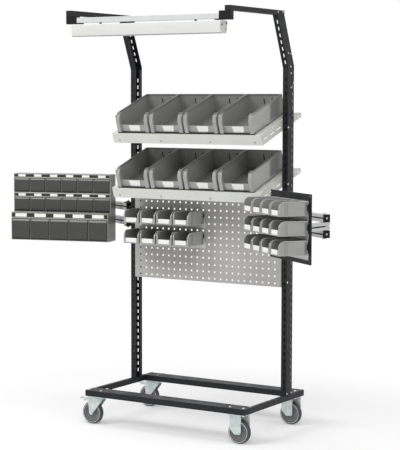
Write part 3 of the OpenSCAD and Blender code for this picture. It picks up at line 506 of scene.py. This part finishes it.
def screw(p, at, r, h):
    """A domed head standing on local XY, with a dark hexagon on top as painted shade of its socket.
    """
    head, socket, skirt, crown, socket_share, socket_h = 0, 1, 0.55, 0.62, 0.38, 0.25
    p.cylinder(r, skirt * h, at, ROUND, head)
    p.cylinder(r, (1 - skirt) * h, at @ move(0, 0, skirt * h), ROUND, head, top=crown * r)
    p.cylinder(socket_share * r, socket_h, at @ move(0, 0, h), HEXAGON, socket)


def side_strip(p, at, s, near, far, out, inward, low, tall, mat):
    """A strip along one side of a tapered bin, between two places of (half width, y)."""
    (a, y0), (b, y1) = near, far
    p.prism(((s * (a + out), y0), (s * (b + out), y1), (s * (b - inward), y1),
             (s * (a - inward), y0)), tall, at @ move(0, 0, low), mat)


# Large bins on the shelves

SHELF_ZS, SHELF_Y, SHELF_TILT = (1607, 1303), -228, 19
ROW_BINS = 4
BIG_PITCH, BIG_SETBACK = 220, 0.5
BIG_L, BIG_TOP, BIG_NOSE, BIG_LIP, BIG_WALL = 347, 111, 34, 14, 2.5
BIG_FRONT_HALF, BIG_BACK_HALF = 103, 109
BIG_TAPER = math.degrees(math.atan((BIG_BACK_HALF - BIG_FRONT_HALF) / BIG_L))
STRIP_X, STRIP_Y, STRIP_Z = (4 - 2 * BIG_PITCH, 2 * BIG_PITCH - 6), (3, 14), (0.2, 6.6)


def at_shelf(z):
    return move(0, SHELF_Y, z) @ turn(SHELF_TILT, "X")


def big_half(y):
    return BIG_FRONT_HALF + (BIG_BACK_HALF - BIG_FRONT_HALF) * y / BIG_L


def big_trim(p, at):
    """Rim flange, label in its holder, back wall slot and hole, and the pads on a bin's sides, with
    painted light and shade.
    """
    rim, label, dark, recess_shade, shallow_shade, top = range(6)
    flange, thick, proud = 7, 3, 0.5
    pads = ((4, 172, 0.9, rim), (172, 186, 0.5, shallow_shade), (186, 262, 0.3, recess_shade),
            (262, 284, 0.5, shallow_shade), (284, 305, 0.7, rim))
    low, high, sink = 16, 102, 0.1
    lean = math.tan(math.radians(SHELF_TILT))
    # Top flange strips in a darker copy of the bin plastic as painted shade; side pads in a paler
    # copy at the ends as painted light and in darker copies in the middle as painted shade, their
    # edges leaning to stand upright in the world like a shade boundary.
    for s in (-1, 1):
        side_strip(p, at, s, (big_half(BIG_NOSE), BIG_NOSE), (big_half(BIG_L), BIG_L), proud,
                   flange, BIG_TOP - thick, thick + proud, top)
        wall = at @ move(s * BIG_FRONT_HALF, 0, 0) @ turn(-s * BIG_TAPER, "Z")
        for k, (y0, y1, t, mat) in enumerate(pads):
            first = lean if k > 0 else 0
            p.prism(((y0 + first * low, low), (y1 + lean * low, low), (y1 + lean * high, high),
                     (y0 + first * high, high)), t + sink, wall @ side(-sink if s > 0 else -t), mat)
    p.box((-BIG_BACK_HALF + flange, BIG_L - flange, BIG_TOP - thick),
          (BIG_BACK_HALF - flange, BIG_L + proud, BIG_TOP + proud), at, top)
    lip, back = at @ front(BIG_LIP), at @ front(BIG_L - BIG_WALL)
    # Holder and back wall ribs in the paler copy as painted light; the back wall slot and hole are
    # dark patches of painted shade.
    for outline, plane, t, mat in (
            (((-25, 11), (38, 11), (40, 42), (-33, 42)), lip, 0.8, label),
            (((-30, 8), (-25, 8), (-33, 44), (-38, 44)), lip, 2.2, rim),
            (((38, 8), (43, 8), (45, 44), (40, 44)), lip, 2.2, rim),
            (rect(-30, 8, 43, 11), lip, 2.2, rim),
            (rect(-9, 50, -2, 86), back, 0.4, dark),
            (arc(46, 84, 5, 0, 360, 16)[:-1], back, 0.4, dark),
            (rect(-70, 34, -67, 100), back, 1.0, rim),
            (rect(67, 34, 70, 100), back, 1.0, rim)):
        p.prism(outline, t, plane, mat)


piece = Piece()
for z in SHELF_ZS:
    for i in range(ROW_BINS):
        x = (i - (ROW_BINS - 1) / 2) * BIG_PITCH
        big_trim(piece, at_shelf(z) @ move(x, BIG_SETBACK, 0))
piece.make("shelf_bin_trim", "frame",
           ("rim", "label", "dark", "recess_shade", "shallow_shade", "flange"), 0.3)

# Dark strips under the fronts of the large bins: painted shadow in the gap beneath them

piece = Piece()
for z in SHELF_ZS:
    piece.box(*zip(STRIP_X, STRIP_Y, STRIP_Z), at_shelf(z))
piece.make("shelf_shadow_strips", "frame", ("dark",), 0.5)

# Small hanging bins on the panel's rails and on the louvre sheet

SMALL_PITCH, SMALL_L, SMALL_H, SMALL_WALL = 109, 155, 73, 2.5
SMALL_FRONT_HALF, SMALL_BACK_HALF = 50.6, 53.5
SMALL_STANDOFF, SMALL_RISE = 10.3, 22
CARD_HALF, CARD_LOW, CARD_HIGH, CARD_T, HOLDER, HOLDER_T = 35, 6.5, 30.5, 0.7, 2, 1.6
RAIL_X, RAIL_ZS = -445, (1083, 969)
RIGHT_WRIST, LOUVRE_TURN, LOUVRE_FOOT = (773.426, -366.994), -36, (12, -45, 980)
AT_LOUVRE = move(*RIGHT_WRIST, 0) @ turn(LOUVRE_TURN, "Z") @ move(*LOUVRE_FOOT)
LOUVRE_Y, LOUVRE_ZS = -4, (26, 123, 220)


def small_half(y):
    return SMALL_FRONT_HALF + (SMALL_BACK_HALF - SMALL_FRONT_HALF) * y / SMALL_L


def small_trim(p, at):
    """Rim flange, label card in its holder, stiffening steps on the sides and dark marks at the
    rear, with painted light and shade.
    """
    rim, label, dark, groove, top, heel = range(6)
    corner, flange, thick, proud, skin = 30, 4, 4, 0.5, 0.1
    show, sink, seam, seam_end = 0.3, 0.5, 1.8, SMALL_L - 3
    gap_shade_w, gap_shade_out = 3, 0.4
    arc_from, arc_to, arc_steps = 170, 90, 10
    # Seams and steps in darker copies of the bin plastic as painted shade; rim flanges and holder
    # in paler copies as painted light.
    steps = ((31, 34, groove), (42, 44.5, groove), (138, 140, groove), (140, 153, heel))
    for s in (-1, 1):
        a, b = small_half(corner), small_half(SMALL_L)
        side_strip(p, at, s, (a, corner), (b, SMALL_L), proud, flange, SMALL_H - thick,
                   thick + proud, top)
        side_strip(p, at, s, (a, corner), (b, seam_end), show, sink, SMALL_H - thick - seam, seam,
                   groove)
        for y0, y1, mat in steps:
            side_strip(p, at, s, (small_half(y0), y0), (small_half(y1), y1), show, sink, 5,
                       SMALL_H - 13, mat)
        # Dark boxes at the rear of the sides: painted shadow in the gap between bin and panel.
        x = SMALL_BACK_HALF + gap_shade_out - gap_shade_w if s > 0 else -SMALL_BACK_HALF - gap_shade_out
        p.box((x, SMALL_L - 6, 24), (x + gap_shade_w, SMALL_L + 8, 55), at, dark)
        centre = (corner, SMALL_H - corner)
        outline = arc(*centre, corner + skin, arc_from, arc_to, arc_steps)
        outline += arc(*centre, corner - thick, arc_to, arc_from, arc_steps)
        x = small_half(0) + skin - flange if s > 0 else -small_half(0) - skin
        p.prism(outline, flange, at @ side(x), top)
    p.box((-SMALL_BACK_HALF + flange, SMALL_L - flange, SMALL_H - thick),
          (SMALL_BACK_HALF - flange, SMALL_L, SMALL_H + proud), at, rim)
    face, out = at @ front(0), CARD_HALF + HOLDER
    p.prism(rect(-CARD_HALF, CARD_LOW, CARD_HALF, CARD_HIGH), CARD_T, face, label)
    p.prism(rect(-out, CARD_LOW - HOLDER, out, CARD_LOW), HOLDER_T, face, rim)
    for x in (-out, CARD_HALF):
        p.prism(rect(x, CARD_LOW, x + HOLDER, CARD_HIGH), HOLDER_T, face, rim)
    # A dark patch on the back wall as painted shade of its slot.
    p.prism(rect(-20, 52, 20, 64), 0.4, at @ front(SMALL_L - SMALL_WALL), dark)


def small_bins(name, body, rails):
    """The trims of the four bins on each rail, from the rail's left end."""
    p = Piece()
    for rail in rails:
        for i in range(ROW_BINS):
            x = (i + 0.5) * SMALL_PITCH
            small_trim(p, rail @ move(x, -SMALL_STANDOFF - SMALL_L, SMALL_RISE))
    p.make(name, body, ("rim", "label", "dark", "groove", "small_rim", "recess_shade"),
           0.3)


small_bins("rail_bin_trim", "frame", [move(RAIL_X, 0, z) for z in RAIL_ZS])
small_bins("louvre_bin_trim", "louvre_panel",
           [AT_LOUVRE @ move(-2 * SMALL_PITCH, LOUVRE_Y, z) for z in LOUVRE_ZS])

# Tip-out cabinet: label bands, cards and light trims

LEFT_WRIST, CABINET_TURN, CABINET_X, CABINET_Y = (-983.290, 22.306), 15, 27, -45
CABINET_W, CABINET_WALL, DIVIDER = 600, 2.5, 2
CABINET_HALF = CABINET_W / 2
UPPER_Z, MIDDLE_Z, LOWER_Z = 1250, 1138, 976
SIX_BINS, FIVE_BINS, SIX_DEPTH, FIVE_DEPTH = 6, 5, 88, 128


def at_row(z):
    return move(*LEFT_WRIST, 0) @ turn(CABINET_TURN, "Z") @ move(CABINET_X, CABINET_Y, z)


def cell_pitch(count):
    return (CABINET_W - 2 * CABINET_WALL + DIVIDER) / count


def cell_x(cells, count):
    """How far across the row: 0 is the first cell's left edge, and 0.5 its middle."""
    return CABINET_WALL - CABINET_HALF + cells * cell_pitch(count) - DIVIDER / 2


def band(p, at, count, depth, height, tall, card_w, card_h):
    """Dark ribbed inserts and white cards on a label band, with light trims around the cells."""
    trim, label, patch, bar = range(4)
    card_t, patch_t, rib_t, bar_t, trim_t, trim_w = 0.9, 0.5, 1.0, 0.6, 0.7, 2.5
    ribs, rib_half, edge, margin = 6, 0.8, 1.5, 2
    face = at @ front(-depth)
    low = height - tall
    middle = low + tall / 2 + 0.5
    gap = (cell_pitch(count) - card_w) / 2 - margin

    def upright(x0, x1, rise, t, mat):
        p.prism(rect(x0, middle - rise, x1, middle + rise), t, face, mat)

    for i in range(count):
        x = cell_x(i + 0.5, count)
        upright(x - card_w / 2, x + card_w / 2, card_h / 2, card_t, label)
    for i in range(count + 1):
        x = cell_x(i, count)
        x0, x1 = max(x - gap, edge - CABINET_HALF), min(x + gap, CABINET_HALF - edge)
        upright(x0, x1, card_h / 2, patch_t, patch)
        for q in range(ribs):
            r = x0 + (q + 0.5) * (x1 - x0) / ribs
            upright(r - rib_half, r + rib_half, card_h / 4, rib_t, patch)
    for i in range(1, count):
        x = cell_x(i, count) - DIVIDER / 2
        p.prism(rect(x, 0, x + DIVIDER, low), bar_t, face, bar)
    for z0, z1 in ((0, trim_w), (low - 0.4, low + 2.8), (height - 2.4, height)):
        p.prism(rect(-CABINET_HALF, z0, CABINET_HALF, z1), trim_t, face, trim)
    for x in (-CABINET_HALF, CABINET_HALF - trim_w):
        p.prism(rect(x, 0, x + trim_w, height), trim_t, face, trim)


piece = Piece()
for z in (UPPER_Z, MIDDLE_Z):
    band(piece, at_row(z), SIX_BINS, SIX_DEPTH, 112, 24, 45, 13.5)
band(piece, at_row(LOWER_Z), FIVE_BINS, FIVE_DEPTH, 162, 34, 71, 20)
piece.make("cabinet_bands", "tip_out_cabinet", ("trim", "label", "patch", "divider"),
           0.3)

# Tip-out bins with a paler strip along the top of each front as painted light, and dark strips
# around each front as painted shadow in the gaps

PIVOT_IN, PIVOT_Z, PAD_T, PAD_IN, PAD_EDGE = 5, 8.5, 4, 3.5, 2
GRIP_SHARE, GRIP_T, GRIP_IN, GAP_SHADE_T, BIN_GAP = 0.105, 0.4, 0.5, 0.3, 1.5


def tip_row(row, count, z, depth, r):
    half = (cell_pitch(count) - DIVIDER - BIN_GAP) / 2
    grip = GRIP_SHARE * r
    low, high = (-PIVOT_IN - PAD_T, r - PAD_EDGE - grip), (1 - PIVOT_IN, r - PAD_EDGE)
    lift = Vector((-grip, PAD_T + 1)).normalized() * GRIP_T
    strip = (low, high, (high[0] + lift[0], high[1] + lift[1]),
             (low[0] + lift[0], low[1] + lift[1]))
    inner = half - PAD_IN
    for i in range(count):
        name = "%s_tilt_bin_%d" % (row, i + 1)
        dress(name, name + "_body", "tip", 0.6)
        p = Piece()
        at = at_row(z) @ move(cell_x(i + 0.5, count), PIVOT_IN - depth, PIVOT_Z)
        # The top strip is painted light; the dark strips at the sides and bottom are painted shadow
        # in the gaps.
        p.prism(strip, 2 * (inner - GRIP_IN), at @ side(GRIP_IN - inner))
        for x0, x1, top in ((-half, -inner, r - 1), (inner, half, r - 1),
                            (-inner, inner, PAD_EDGE)):
            p.prism(rect(x0, 0, x1, top), GAP_SHADE_T, at @ front(-PIVOT_IN), mat=1)
        p.make(name + "_grip", name + "_body", ("tip_edge", "dark"), 0.15)


tip_row("upper", SIX_BINS, UPPER_Z, SIX_DEPTH, 77.5)
tip_row("middle", SIX_BINS, MIDDLE_Z, SIX_DEPTH, 77.5)
tip_row("lower", FIVE_BINS, LOWER_Z, FIVE_DEPTH, 117.5)

# Wheels: dished centres with ribs, tyres with two tread grooves and a bright ring on each face

WHEEL_R, WHEEL_RIBS, RIB_H, RIB_FOOT = 62.5, 6, 2.2, 6
TYRE_SIDES, CENTRE_SIDES = 72, 64
TYRE = ((46.6, -15), (50, -16), (56, -16), (60.4, -13.4), (62.5, -8.5), (62.5, -5.4), (61.2, -4.8),
        (61.2, -3.2), (62.5, -2.6), (62.5, 2.6), (61.2, 3.2), (61.2, 4.8), (62.5, 5.4), (62.5, 8.5),
        (60.4, 13.4), (56, 16), (50, 16), (46.6, 15))
CENTRE = ((6.1, -17.1), (12.8, -17.1), (14.4, -15.8), (14.4, -9), (17, -6.6), (34, -6), (38, -8),
          (39.5, -12), (40.5, -14), (46.5, -14), (46.5, 14), (40.5, 14), (39.5, 12), (38, 8),
          (34, 6), (17, 6.6), (14.4, 9), (14.4, 15.8), (12.8, 17.1), (6.1, 17.1))
RING = ((51.6, 15.4), (55.6, 15.4), (55.2, 16.8), (52.0, 16.8))

for name, x, y in (("front_left", -488, -398), ("rear_left", -488, 168),
                   ("front_right", 453, -398), ("rear_right", 453, 168)):
    at = move(x, y, WHEEL_R) @ turn(90, "X")
    body = name + "_roller"
    piece = Piece()
    piece.lathe(TYRE, at, TYRE_SIDES)
    piece.make(name + "_tyre_tread", body, ("tyre",), 0, (name + "_tyre",))
    piece = Piece()
    piece.lathe(CENTRE, at, CENTRE_SIDES)
    for half_turn in (0, 180):
        face = at @ turn(half_turn, "X")
        piece.lathe(RING, face, TYRE_SIDES, mat=1)
        for k in range(WHEEL_RIBS):
            rib = face @ turn(360 / WHEEL_RIBS * k, "Z") @ move(0, 0, RIB_FOOT)
            piece.prism(rect(14, -1.6, 37, 1.6), RIB_H, rib)
    piece.make(name + "_wheel_centre", body, ("hub", "ring"), 0, (name + "_wheel",))

# Screws on the outer sides of the uprights and base, and in the shelves' lips on dark discs that
# are painted shade of the lip holes

OUTER_X, SIDE_HEAD_H = 509, 2.6
SIDE_SCREWS = ((-110, 2253, 5), (-61, 2255, 5), (4, 2041, 5), (32, 2039, 5), (32, 1971, 5.5),
               (38, 1935, 5), (65, 1884, 5), (37, 1860, 5), (11, 1646, 5.5), (11, 1342, 5.5),
               (11, 810, 5.5), (14, 201, 5), (62, 201, 5))
LIP_HOLE_XS, LIP_HOLE_Z, LIP_HOLE_SHADE_T = (-432, -157.3, 157.3, 432), -42, 0.4

piece = Piece()
for s in (-1, 1):
    for y, z, r in SIDE_SCREWS:
        screw(piece, move(s * OUTER_X, y, z) @ turn(s * 90, "Y"), r, SIDE_HEAD_H)
for z in SHELF_ZS:
    for x in LIP_HOLE_XS:
        at = at_shelf(z) @ front(0) @ move(x, LIP_HOLE_Z, 0)
        # Dark disc: painted shade of the lip hole.
        piece.cylinder(5.2, LIP_HOLE_SHADE_T, at, ROUND, 1)
        screw(piece, at @ move(0, 0, LIP_HOLE_SHADE_T), 3.6, 1.6)
piece.make("frame_screws", "frame", ("bolt", "dark"), 0.2)

# Lamp: dark marks as painted shade of the holes and the slot in the end plates, screws on the
# front, and a dark strip as painted shade along the hemmed lower edge

LAMP_END, LAMP_Y, LAMP_HALF, LAMP_FOLD, LAMP_TAPER = 460, -587.5, 36.5, 34.65, 8
LAMP_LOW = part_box("lamp_housing")[0][2] / MM
HEM, HEM_SHADE_T, OPENING_SHADE_T = 2.4, 0.3, 0.4

piece = Piece()
for s in (-1, 1):
    for y, z, r in ((-604, 2168, 6.0), (-557, 2176, 5.4)):
        piece.cylinder(r, OPENING_SHADE_T, move(s * LAMP_END, y, z) @ turn(s * 90, "Y"), ROUND, 1)
    x0, x1 = sorted((s * LAMP_END, s * (LAMP_END + OPENING_SHADE_T)))
    piece.box((x0, -571, 2140), (x1, -566, 2150), mat=1)
for x, z in ((-302, 2171), (-399, 2172), (386, 2171), (120, 2171)):
    screw(piece, move(x, LAMP_Y - LAMP_HALF, z) @ turn(90, "X"), 2.2, 0.8)
edge = LAMP_Y - LAMP_HALF + LAMP_TAPER
fold = edge - LAMP_TAPER / LAMP_FOLD * HEM
piece.prism(((edge, 0), (fold, HEM), (fold - HEM_SHADE_T, HEM), (edge - HEM_SHADE_T, 0)), 2 * LAMP_END,
            move(0, 0, LAMP_LOW) @ side(-LAMP_END), mat=1)
piece.make("lamp_fittings", "frame", ("lamp", "dark"), 0.1)

# Swing arms: dark strips in the bars' grooves as painted shade, screws in the end caps and nuts on
# the pins

PIN_X, SHOULDER_Y, UPPER_L, FORE_L, BAR_OVER = 552, 40, 290, 250, 25
BAR_ZS, FORE_ZS = (1096, 1180), (1138,)
LEFT_SHOULDER, RIGHT_SHOULDER = (-PIN_X, SHOULDER_Y), (PIN_X, SHOULDER_Y)
LEFT_ELBOW, RIGHT_ELBOW = (-799.27, 191.52), (795.21, -117.95)
LEFT_UPPER_TURN, RIGHT_UPPER_TURN, LEFT_FORE_TURN, RIGHT_FORE_TURN = 148.5, -33, -137.4, -95
GROOVE_Y, GROOVE_HALF, GROOVE_SHADE_T = 14, 3.9, 0.3
UPPER_GROOVE_SPAN, FORE_GROOVE_SPAN = (-19, UPPER_L + 19), (12, FORE_L - 12)
NUT_R, NUT_TOP, NUT_H, END_R, END_TOP, END_H = 9.5, 8.8, 5, 5.4, 4.4, 2.4


def groove_strips(name, body, start, heading, zs, span):
    """Dark strips at the bottom of the grooves along a bar's sides, as painted shade in the
    grooves.
    """
    p = Piece()
    at = move(*start, 0) @ turn(heading, "Z")
    for z in zs:
        for y in (-GROOVE_Y - GROOVE_SHADE_T, GROOVE_Y):
            p.box((span[0], y, z - GROOVE_HALF), (span[1], y + GROOVE_SHADE_T, z + GROOVE_HALF), at)
    p.make(name, body, ("dark",), 0)


def cap_screws(name, body, start, heading):
    p = Piece()
    at = move(*start, 0) @ turn(heading, "Z")
    for z in BAR_ZS:
        for x, face in ((-BAR_OVER, -90), (UPPER_L + BAR_OVER, 90)):
            screw(p, at @ move(x, 0, z) @ turn(face, "Y"), 4.6, 2.0)
    p.make(name, body, ("bolt", "dark"), 0.2)


groove_strips("left_upper_grooves", "left_upper_arm", LEFT_SHOULDER, LEFT_UPPER_TURN, BAR_ZS,
              UPPER_GROOVE_SPAN)
groove_strips("right_upper_grooves", "right_upper_arm", RIGHT_SHOULDER, RIGHT_UPPER_TURN, BAR_ZS,
              UPPER_GROOVE_SPAN)
groove_strips("left_fore_grooves", "left_lower_arm", LEFT_ELBOW, LEFT_FORE_TURN, FORE_ZS,
              FORE_GROOVE_SPAN)
groove_strips("right_fore_grooves", "right_lower_arm", RIGHT_ELBOW, RIGHT_FORE_TURN, FORE_ZS,
              FORE_GROOVE_SPAN)
cap_screws("left_cap_screws", "left_upper_arm", LEFT_SHOULDER, LEFT_UPPER_TURN)
cap_screws("right_cap_screws", "right_upper_arm", RIGHT_SHOULDER, RIGHT_UPPER_TURN)

piece = Piece()
for s in (-1, 1):
    for z, over in ((1211, 0), (1065, 180)):
        at = move(s * PIN_X, SHOULDER_Y, z) @ turn(over, "X")
        piece.cylinder(NUT_R, NUT_H, at, HEXAGON, top=NUT_TOP)
        piece.cylinder(END_R, END_H, at @ move(0, 0, NUT_H), 16, top=END_TOP)
piece.make("shoulder_nuts", "frame", ("bolt",), 0.3)

# Louvre frame: the corner plate with its two screws, and a screw in the other corner

PLATE_T = 0.8
CORNER = AT_LOUVRE @ front(-8)

piece = Piece()
piece.prism(rect(-231, 320, -213, 348), PLATE_T, CORNER, mat=1)
for x, z, base, r, h in ((-225, 340, PLATE_T, 3.4, 1.6), (-218, 327, PLATE_T, 3.0, 1.6),
                         (225, 340, 0, 2.6, 1.2)):
    screw(piece, CORNER @ move(x, z, base), r, h)
piece.make("louvre_corner_plate", "louvre_panel", ("bolt", "dark"), 0.2)

# Floor and light

FLOOR_SIZE, FLOOR_NEAR, FLOOR_FADE, FLOOR_LIFT = 30, 3.4, (0.42, 0.80), 0.18
WORLD_STRENGTH = 0.40


def seen_rays(tree):
    """1 for what the camera sees, also in gloss and through glass, and 0 for other light."""
    path = tree.nodes.new("ShaderNodeLightPath")
    value = path.outputs["Is Camera Ray"]
    for name in ("Is Glossy Ray", "Is Transmission Ray"):
        node = tree.nodes.new("ShaderNodeMath")
        node.operation = "MAXIMUM"
        tree.links.new(value, node.inputs[0])
        tree.links.new(path.outputs[name], node.inputs[1])
        value = node.outputs["Value"]
    return value


def floor():
    """A white floor: lit and shaded like paper near the cart, and plain white further out."""
    mesh = bpy.data.meshes.new("floor")
    corners = rect(-FLOOR_SIZE, -FLOOR_SIZE, FLOOR_SIZE, FLOOR_SIZE)
    mesh.from_pydata([(x, y, 0) for x, y in corners], [], [(0, 1, 2, 3)])
    n = Nodes("studio_floor")
    n.bsdf.inputs["Base Color"].default_value = (*srgb(240, 240, 240), 1)
    n.feed("Roughness", 0.9)
    n.feed("Specular IOR Level", 0.1)
    seen = seen_rays(n.tree)
    strength = n.add("ShaderNodeMath", operation="MULTIPLY")
    strength.inputs[1].default_value = FLOOR_LIFT
    n.link(seen, strength.inputs[0])
    lift = n.add("ShaderNodeEmission")
    n.link(strength.outputs["Value"], lift.inputs["Strength"])
    paper = n.add("ShaderNodeAddShader")
    n.link(n.bsdf.outputs["BSDF"], paper.inputs[0])
    n.link(lift.outputs["Emission"], paper.inputs[1])
    glow = n.add("ShaderNodeEmission")
    gradient = n.add("ShaderNodeTexGradient", gradient_type="SPHERICAL")
    mapping = n.add("ShaderNodeMapping", vector_type="TEXTURE", scale=(FLOOR_NEAR,) * 3)
    n.link(n.coords, mapping.inputs["Vector"])
    n.link(mapping.outputs["Vector"], gradient.inputs["Vector"])
    fac = n.add("ShaderNodeMath", operation="MULTIPLY")
    n.link(n.spread(gradient.outputs["Fac"], 1.0, 0.0, *FLOOR_FADE), fac.inputs[0])
    n.link(seen, fac.inputs[1])
    mix = n.add("ShaderNodeMixShader")
    n.link(fac.outputs["Value"], mix.inputs["Fac"])
    n.link(paper.outputs["Shader"], mix.inputs[1])
    n.link(glow.outputs["Emission"], mix.inputs[2])
    n.link(mix.outputs["Shader"], n.tree.nodes["Material Output"].inputs["Surface"])
    mesh.materials.append(n.mat)
    obj = bpy.data.objects.new("floor", mesh)
    bpy.context.scene.collection.objects.link(obj)


def world():
    """White where it is seen, and an even grey light on the cart."""
    w = bpy.data.worlds.new("studio")
    w.use_nodes = True
    bpy.context.scene.world = w
    tree = w.node_tree
    back = tree.nodes["Background"]
    white = tree.nodes.new("ShaderNodeBackground")
    for node in (back, white):
        node.inputs["Color"].default_value = (1, 1, 1, 1)
    back.inputs["Strength"].default_value = WORLD_STRENGTH
    mix = tree.nodes.new("ShaderNodeMixShader")
    tree.links.new(seen_rays(tree), mix.inputs["Fac"])
    tree.links.new(back.outputs["Background"], mix.inputs[1])
    tree.links.new(white.outputs["Background"], mix.inputs[2])
    tree.links.new(mix.outputs["Shader"], tree.nodes["World Output"].inputs["Surface"])


def area_light(name, where, target, size, power):
    light = bpy.data.lights.new(name, "AREA")
    light.shape = "RECTANGLE"
    light.size, light.size_y = size
    light.energy = power
    obj = bpy.data.objects.new(name, light)
    obj.location = where
    aim = Vector(target) - Vector(where)
    obj.rotation_euler = aim.to_track_quat("-Z", "Y").to_euler()
    bpy.context.scene.collection.objects.link(obj)


floor()
world()
area_light("key", (-5.2, -8.0, 10.0), (0, -0.1, 1.1), (6.0, 6.0), 650)
area_light("fill", (5.6, -7.4, 8.2), (0, 0, 1.0), (5.0, 5.0), 330)
area_light("top", (0, -0.8, 10.0), (0, 0, 0), (6.0, 5.0), 210)

# Camera, solved from the photograph in the cart's own millimetres

CAMERA_EYE = (4377.6, -7153.6, 1784.4)
HEADING, DIP, ROLL = (math.radians(a) for a in (31.693, 4.668, 0.129))
SENSOR, FOCAL_PX, PICTURE_PX, CLIP_END = 36, 1515, 450, 100


def camera():
    ahead = Vector((-math.sin(HEADING) * math.cos(DIP), math.cos(HEADING) * math.cos(DIP),
                    -math.sin(DIP)))
    level = Vector((math.cos(HEADING), math.sin(HEADING), 0))
    upright = level.cross(ahead)
    right = level * math.cos(ROLL) + upright * math.sin(ROLL)
    up = upright * math.cos(ROLL) - level * math.sin(ROLL)
    cam = bpy.data.cameras.new("camera")
    cam.sensor_fit = "VERTICAL"
    cam.sensor_height = SENSOR
    cam.lens = SENSOR * FOCAL_PX / PICTURE_PX
    cam.clip_end = CLIP_END
    obj = bpy.data.objects.new("camera", cam)
    axes = Matrix((right, up, -ahead)).transposed().to_4x4()
    obj.matrix_world = Matrix.Translation(TO_SCENE @ Vector(CAMERA_EYE)) @ axes
    bpy.context.scene.collection.objects.link(obj)
    bpy.context.scene.camera = obj


camera()
bpy.context.scene.view_settings.view_transform = "Standard"
